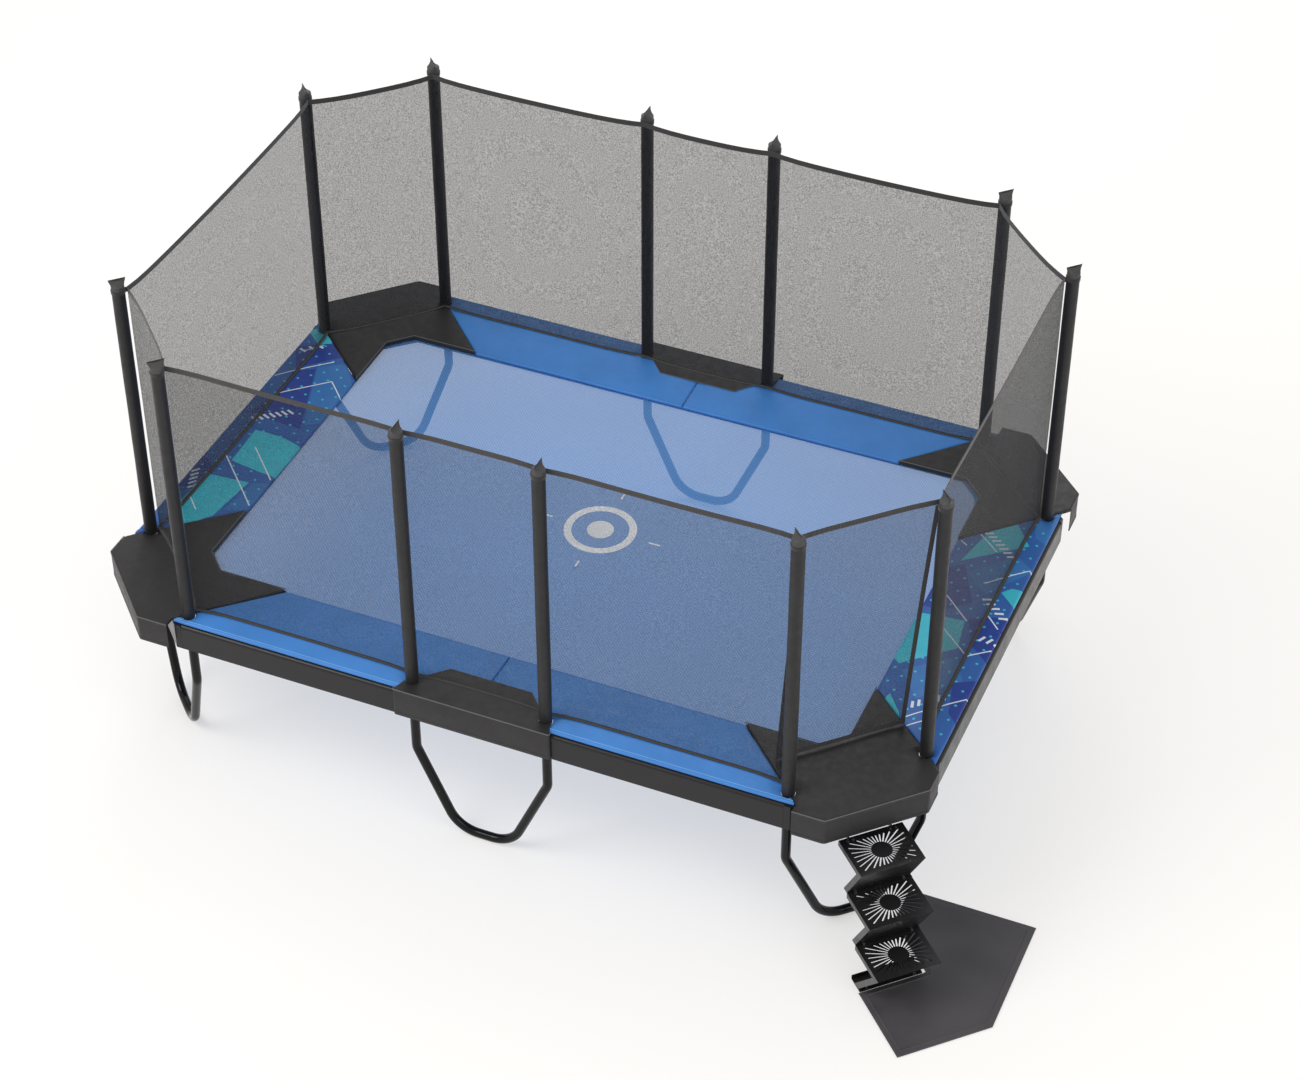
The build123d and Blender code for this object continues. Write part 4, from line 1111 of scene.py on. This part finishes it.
def springs():
    def both_ways(first, count):
        return [s * (first + SPRING_PITCH * i) for i in range(count) for s in (-1, 1)]

    long_at = both_ways(SPRING_FIRST, 4) + both_ways(SPRING_PAST_POLE, 14)
    short_at = both_ways(SPRING_FIRST, 10)
    for name, sy in (("front", -1), ("back", 1)):
        spring_group(f"springs_{name}", (0, sy * MAT_Y), (1, 0), long_at, (0, sy),
                     RAIL_Y - RAIL_WIDE - MAT_Y)
    for name, sx in (("left", -1), ("right", 1)):
        spring_group(f"springs_{name}", (sx * MAT_X, 0), (0, 1), short_at, (sx, 0),
                     RAIL_X - RAIL_WIDE - MAT_X)
    middle_w = (LONG_POLE[0] + SHORT_POLE[0] - LONG_POLE[1] - SHORT_POLE[1]) / 2 / ROOT2
    for name, (sx, sy) in QUARTERS.items():
        x, y = (MAT_N + middle_w) / ROOT2, (MAT_N - middle_w) / ROOT2
        out = (sx / ROOT2, sy / ROOT2)
        step = (sx / ROOT2, -sy / ROOT2)
        offsets = (-SPRING_PITCH, 0, SPRING_PITCH)
        spring_group(f"springs_{name}", (sx * x, sy * y), step, offsets, out, RAIL_N - RAIL_WIDE - MAT_N)


# ---------------------------------------------------------------- net
NET_SAG, NET_BOW = 0.010, 0.012     # how far it drops and bows between poles, per metre
NET_ROWS = 18
TIE_PULL = 0.018             # how far a tie draws the net's corner towards its pole
TIE_REACH = 0.12


def net_sides():
    """Name, start, end and the pole positions along each of the enclosure's eight sides."""
    line = octagon(NET_X, NET_Y, NET_N)
    names = ["corner_back_right", "right", "corner_front_right", "front",
             "corner_front_left", "left", "corner_back_left", "back"]
    for i, name in enumerate(names):
        a, b = Vector(line[i]), Vector(line[(i + 1) % 8])
        length = (b - a).length
        knots = [0.0, length]
        if name in ("front", "back"):
            knots = [0.0, length / 2 - MID_POLE[0], length / 2 + MID_POLE[0], length]
        yield name, a, b, knots


def tied(x, y, share=1.0):
    """A plan point of the net, drawn towards the nearest pole where a tie holds it."""
    spot = Vector((x, y))
    toward = min((Vector(pole) - spot for pole in POLES), key=lambda away: away.length)
    beyond = (toward.length - 0.06) / TIE_REACH
    return spot + toward.normalized() * TIE_PULL * share * math.exp(-beyond ** 2)


def slack(s, knots, share):
    """How far cloth hung from the poles drops at a distance s along its side."""
    for low, high in zip(knots, knots[1:]):
        if low <= s <= high:
            t = (s - low) / (high - low)
            return share * (high - low) * 4 * t * (1 - t)
    return 0.0


def side_point(a, b, knots, s, z, height_share):
    """A point of the net: hung from the sagging hem, bowed a little inwards at mid height."""
    run = (b - a).normalized()
    inward = Vector((run.y, -run.x))
    if inward.dot(a + b) > 0:
        inward.negate()
    drop = slack(s, knots, NET_SAG) * height_share
    bow = slack(s, knots, NET_BOW) * math.sin(math.pi * height_share)
    wave = noise.noise((a.x + run.x * s * 4, a.y + run.y * s * 4, z * 2.2))
    ripple = 0.0035 * wave * math.sin(math.pi * height_share)
    spot = a + run * s + inward * (bow + ripple)
    return Vector((*tied(spot.x, spot.y), z - drop))


def spread_of(knots, pitch):
    """Positions along a side that include every pole."""
    found = []
    for low, high in zip(knots, knots[1:]):
        count = max(4, round((high - low) / pitch))
        found += [low + (high - low) * i / count for i in range(count)]
    return found + [knots[-1]]


def net_panel(name, a, b, knots):
    gap = 0.0006
    columns = spread_of([knots[0] + gap] + knots[1:-1] + [knots[-1] - gap], 0.06)
    rows = []
    low, high = NET_LOW - 0.002, NET_TOP + 0.008
    for j in range(NET_ROWS + 1):
        share = j / NET_ROWS
        z = low + (high - low) * share
        rows.append([side_point(a, b, knots, s, z, share) for s in columns])
    shape = Shape()
    shape.grid(rows)
    paint = SHEER_NET if "front" in name else NET
    piece = shape.make(f"net_{name}_cloth", [paint], stands_for=(f"net_{name}",), sharp=80)


def hem_strap(name, sides, z, height_share, section, stands_for, rows):
    """A strap along the enclosure's sides; rows are thread lines as (up, out) offsets."""
    shape = Shape()
    for _, a, b, knots in sides:
        path = [side_point(a, b, knots, s, z, height_share) for s in spread_of(knots, 0.08)]
        shape.swept(path, section)
        for lift, out in rows:
            run = (b - a).normalized()
            outward = Vector((-run.y, run.x))
            outward = outward if outward.dot(a + b) > 0 else -outward
            up = Vector((*outward, 0)) if out else UP
            row = [p + Vector((*(outward * out), lift)) for p in path]
            stitches(shape, row, pitch=0.010, paint=1, up=up)
    shape.make(name, [HEM, THREAD], stands_for=stands_for)


def hems():
    sides = list(net_sides())
    height = HEM_TOP - HEM_LOW
    middle = (HEM_LOW + HEM_TOP) / 2
    rows = [(0.009, 0.0017), (-0.009, 0.0017)]
    hem_strap("top_hem_strap", sides, middle, 1.0, flat_section(0.003, height), ("top_hem",), rows)
    low_sides = [s for s in sides if s[0] != "corner_front_right"]
    z = (low_of("bottom_hem") + top_of("bottom_hem")) / 2
    hem_strap("bottom_hem_strap", low_sides, z, 0.0, flat_section(0.020, 0.0026), ("bottom_hem",),
              [(0.0014, 0)])


def net_ties():
    """A strap round each sleeve, held to the top hem by a short tab and a slide."""
    shape = Shape()
    line = octagon(NET_X, NET_Y, NET_N)
    z = (HEM_LOW + HEM_TOP) / 2
    for x, y in POLES:
        pole = Vector((x, y))
        if abs(x) < 1:
            target = Vector((x, math.copysign(NET_Y, y)))
        else:
            target = min((Vector(p) for p in line), key=lambda p: (p - pole).length)
        target = tied(*target)
        toward = (target - pole).normalized()
        side = Vector((-toward.y, toward.x))
        r = SLEEVE_R + 0.0022
        loop = [pole + toward * r * math.cos(t) + side * r * math.sin(t)
                for t in np.linspace(0, 2 * math.pi, 28, endpoint=False)]
        shape.swept([(p.x, p.y, z) for p in loop], flat_section(0.0018, 0.020), 0, closed=True)
        for shift in (-0.0035, 0.0035):
            start, end = pole + toward * r + side * shift, target - toward * 0.001 + side * shift
            shape.swept([(start.x, start.y, z), (end.x, end.y, z)], flat_section(0.0016, 0.020))
        slide_at = pole.lerp(target, 0.5) + toward * r / 2
        ends = [(slide_at + toward * shift).to_3d() + UP * z for shift in (-0.003, 0.003)]
        shape.swept(ends, flat_section(0.013, 0.026), 1)
    shape.make("tie_straps", [STRAP, PLASTIC], stands_for=("net_ties",))


# ---------------------------------------------------------------- entrance flap
FLAP_LOW_W, FLAP_HIGH_W = 0.128, 0.800
FLAP_IN = 0.152              # how far inwards the flap's foot hangs
FLAP_HEM = 0.024
FLAP_TOP, FLAP_FOOT = top_of("entrance_flap"), low_of("entrance_flap")


def flap_point(share_w, share_z, lift=0.0):
    """A point of the hanging flap; share_z runs from the foot to the top."""
    w = FLAP_LOW_W + (FLAP_HIGH_W - FLAP_LOW_W) * share_w
    n = NET_N - FLAP_IN * (1 - share_z)
    ripple = 0.004 * math.sin(math.pi * share_z) * noise.noise((w * 5, share_z * 2.5, 3.0))
    spot = corner_point(n + ripple + lift, w)
    return Vector((*tied(spot.x, spot.y, share_z), FLAP_FOOT + (FLAP_TOP - FLAP_FOOT) * share_z))


def flap_line(points, samples=24):
    made = []
    for (w0, z0), (w1, z1) in zip(points, points[1:]):
        shares = [i / samples for i in range(samples)]
        made += [flap_point(w0 + (w1 - w0) * t, z0 + (z1 - z0) * t) for t in shares]
    return made + [flap_point(*points[-1])]


def entrance_flap():
    binding = Shape()
    out = corner_point(1, 0)
    upright, level = (flat_section(FLAP_HEM, 0.0026), out), (flat_section(0.0026, FLAP_HEM), UP)
    lines = (([(0.018, 1), (0.018, 0.0)], upright), ([(0.982, 1), (0.982, 0.0)], upright),
             ([(0.0, 0.009), (1.0, 0.009)], level))
    for line, (section, up) in lines:
        path = flap_line(line)
        binding.swept(path, section, up=up)
        stitches(binding, [p + out * 0.0014 for p in path], pitch=0.010, paint=1, up=out)
    bound = binding.make("flap_binding", [HEM, THREAD], "flap")
    shape = Shape()
    shape.grid([[flap_point(i / 20, j / 30) for i in range(21)] for j in range(31)])
    piece = shape.make("flap_net", [SHEER_NET], "flap", ("entrance_flap",), sharp=80)


def gusset():
    """The coarse net triangle sewn to the flap's edge, which closes the gap to the frame's line."""
    w = FLAP_LOW_W - 0.003
    rows = []
    high = FLAP_TOP - 0.010
    for j in range(17):
        share = j / 16
        z = FLAP_FOOT + (high - FLAP_FOOT) * share
        n_in = NET_N - FLAP_IN * (1 - share) + 0.001
        n_out = NET_N - 0.005
        row = []
        for i in range(9):
            t = i / 8
            spot = corner_point(n_in + (n_out - n_in) * t, w + 0.002 * math.sin(math.pi * t))
            row.append((*tied(spot.x, spot.y, share + (1 - share) * t), z))
        rows.append(row)
    shape = Shape()
    shape.grid(rows)
    piece = shape.make("gusset_net", [COARSE_NET], "flap", ("flap_gusset",), sharp=80)


# ---------------------------------------------------------------- ground mat
MAT_NEAR_FOOT = 0.0015       # gap between the mat and the ladder's foot
MAT_BESIDE_FOOT = 0.339      # from the foot's far end back to where the mat starts
NOTCH_PAST_FOOT = 0.016      # and on to the side of the mat's notch
RAMP_SLOPE = 0.39            # of the bevelled edge at the foot


def ground_mat():
    low, high = (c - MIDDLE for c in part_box("ground_mat"))
    x_in, thick = low.x, high.z
    n_far = reach("ground_mat", 1, -1)
    foot_front, foot_w = reach("ladder_foot", 1, -1), reach("ladder_foot", 1, 1)
    n_in, w_low, notch_w = foot_front + MAT_NEAR_FOOT, foot_w - MAT_BESIDE_FOOT, foot_w + NOTCH_PAST_FOOT
    corners = [(x_in, high.y), (high.x, high.y)]
    for n, w in ((n_far, high.x * ROOT2 - n_far), (n_far, w_low), (n_in, w_low), (n_in, notch_w),
                 (x_in * ROOT2 - notch_w, notch_w)):
        spot = corner_point(n, w)
        corners.append((spot.x, spot.y))
    plan = Plan(corners, bites=())

    def top(x, y, depth):
        rim = 0.0022 * np.exp(-(((depth - 0.030) / 0.0035) ** 2))
        level = thick - 0.0022 + rim - 0.0010 * (depth > 0.034) + creases(x, y, 4.0, 0.0004)
        n, w = (x - y) / ROOT2, (x + y) / ROOT2
        ramp = np.where(w < notch_w - 0.0005, 0.0005 + RAMP_SLOPE * (n - n_in), thick)
        return np.minimum(level, ramp)

    def bottom(x, y, depth):
        return np.zeros(len(x))

    shape = Shape()
    flat_rings = (0.0012, 0.004, 0.009, 0.022, 0.026, 0.0285, 0.030, 0.0315, 0.034, 0.038)
    slab(shape, plan, top, bottom, rounding=0.004, step=0.05, rings=flat_rings)
    shape.make("rubber_mat", [RUBBER], stands_for=("ground_mat",), sharp=30)


# ---------------------------------------------------------------- finishes of the CAD pieces
FINISHES = {
    "frame_steel": FRAME_STEEL, "gloss_steel": GLOSS_STEEL, "ladder_steel": LADDER_STEEL,
    "zinc_steel": ZINC, "black_plastic": PLASTIC, "webbing": STRAP, "black_vinyl": BLACK,
}


def finish_cad():
    """Gives every CAD piece that stays in view the finish that the record names for it."""
    for part in frame["record"]["subparts"]:
        paint = FINISHES.get(part["material_slot"])
        piece = NODES[part["node"]]
        if paint:
            piece.data.materials.clear()
            piece.data.materials.append(paint)


# ---------------------------------------------------------------- the whole object
add_camera()
add_studio()
finish_cad()
for seed, (quarter, (side_x, side_y)) in enumerate(QUARTERS.items(), 1):
    long_pad(f"pad_{quarter}", side_x, side_y, seed)
    corner_cover(f"corner_cover_{quarter}", side_x, side_y, seed + 10)
short_pad("pad_right", 1, RIGHT_PRINT, 21)
short_pad("pad_left", -1, LEFT_PRINT, 22)
middle_cover("middle_cover_front", -1, 31)
middle_cover("middle_cover_back", 1, 32)
for number, pole in enumerate(POLES, 1):
    sleeve(number, *pole)
mat_webbing()
jumping_mat()
mat_mark()
springs()
for side in net_sides():
    if side[0] != "corner_front_right":
        net_panel(*side)
hems()
net_ties()
entrance_flap()
gusset()
ground_mat()
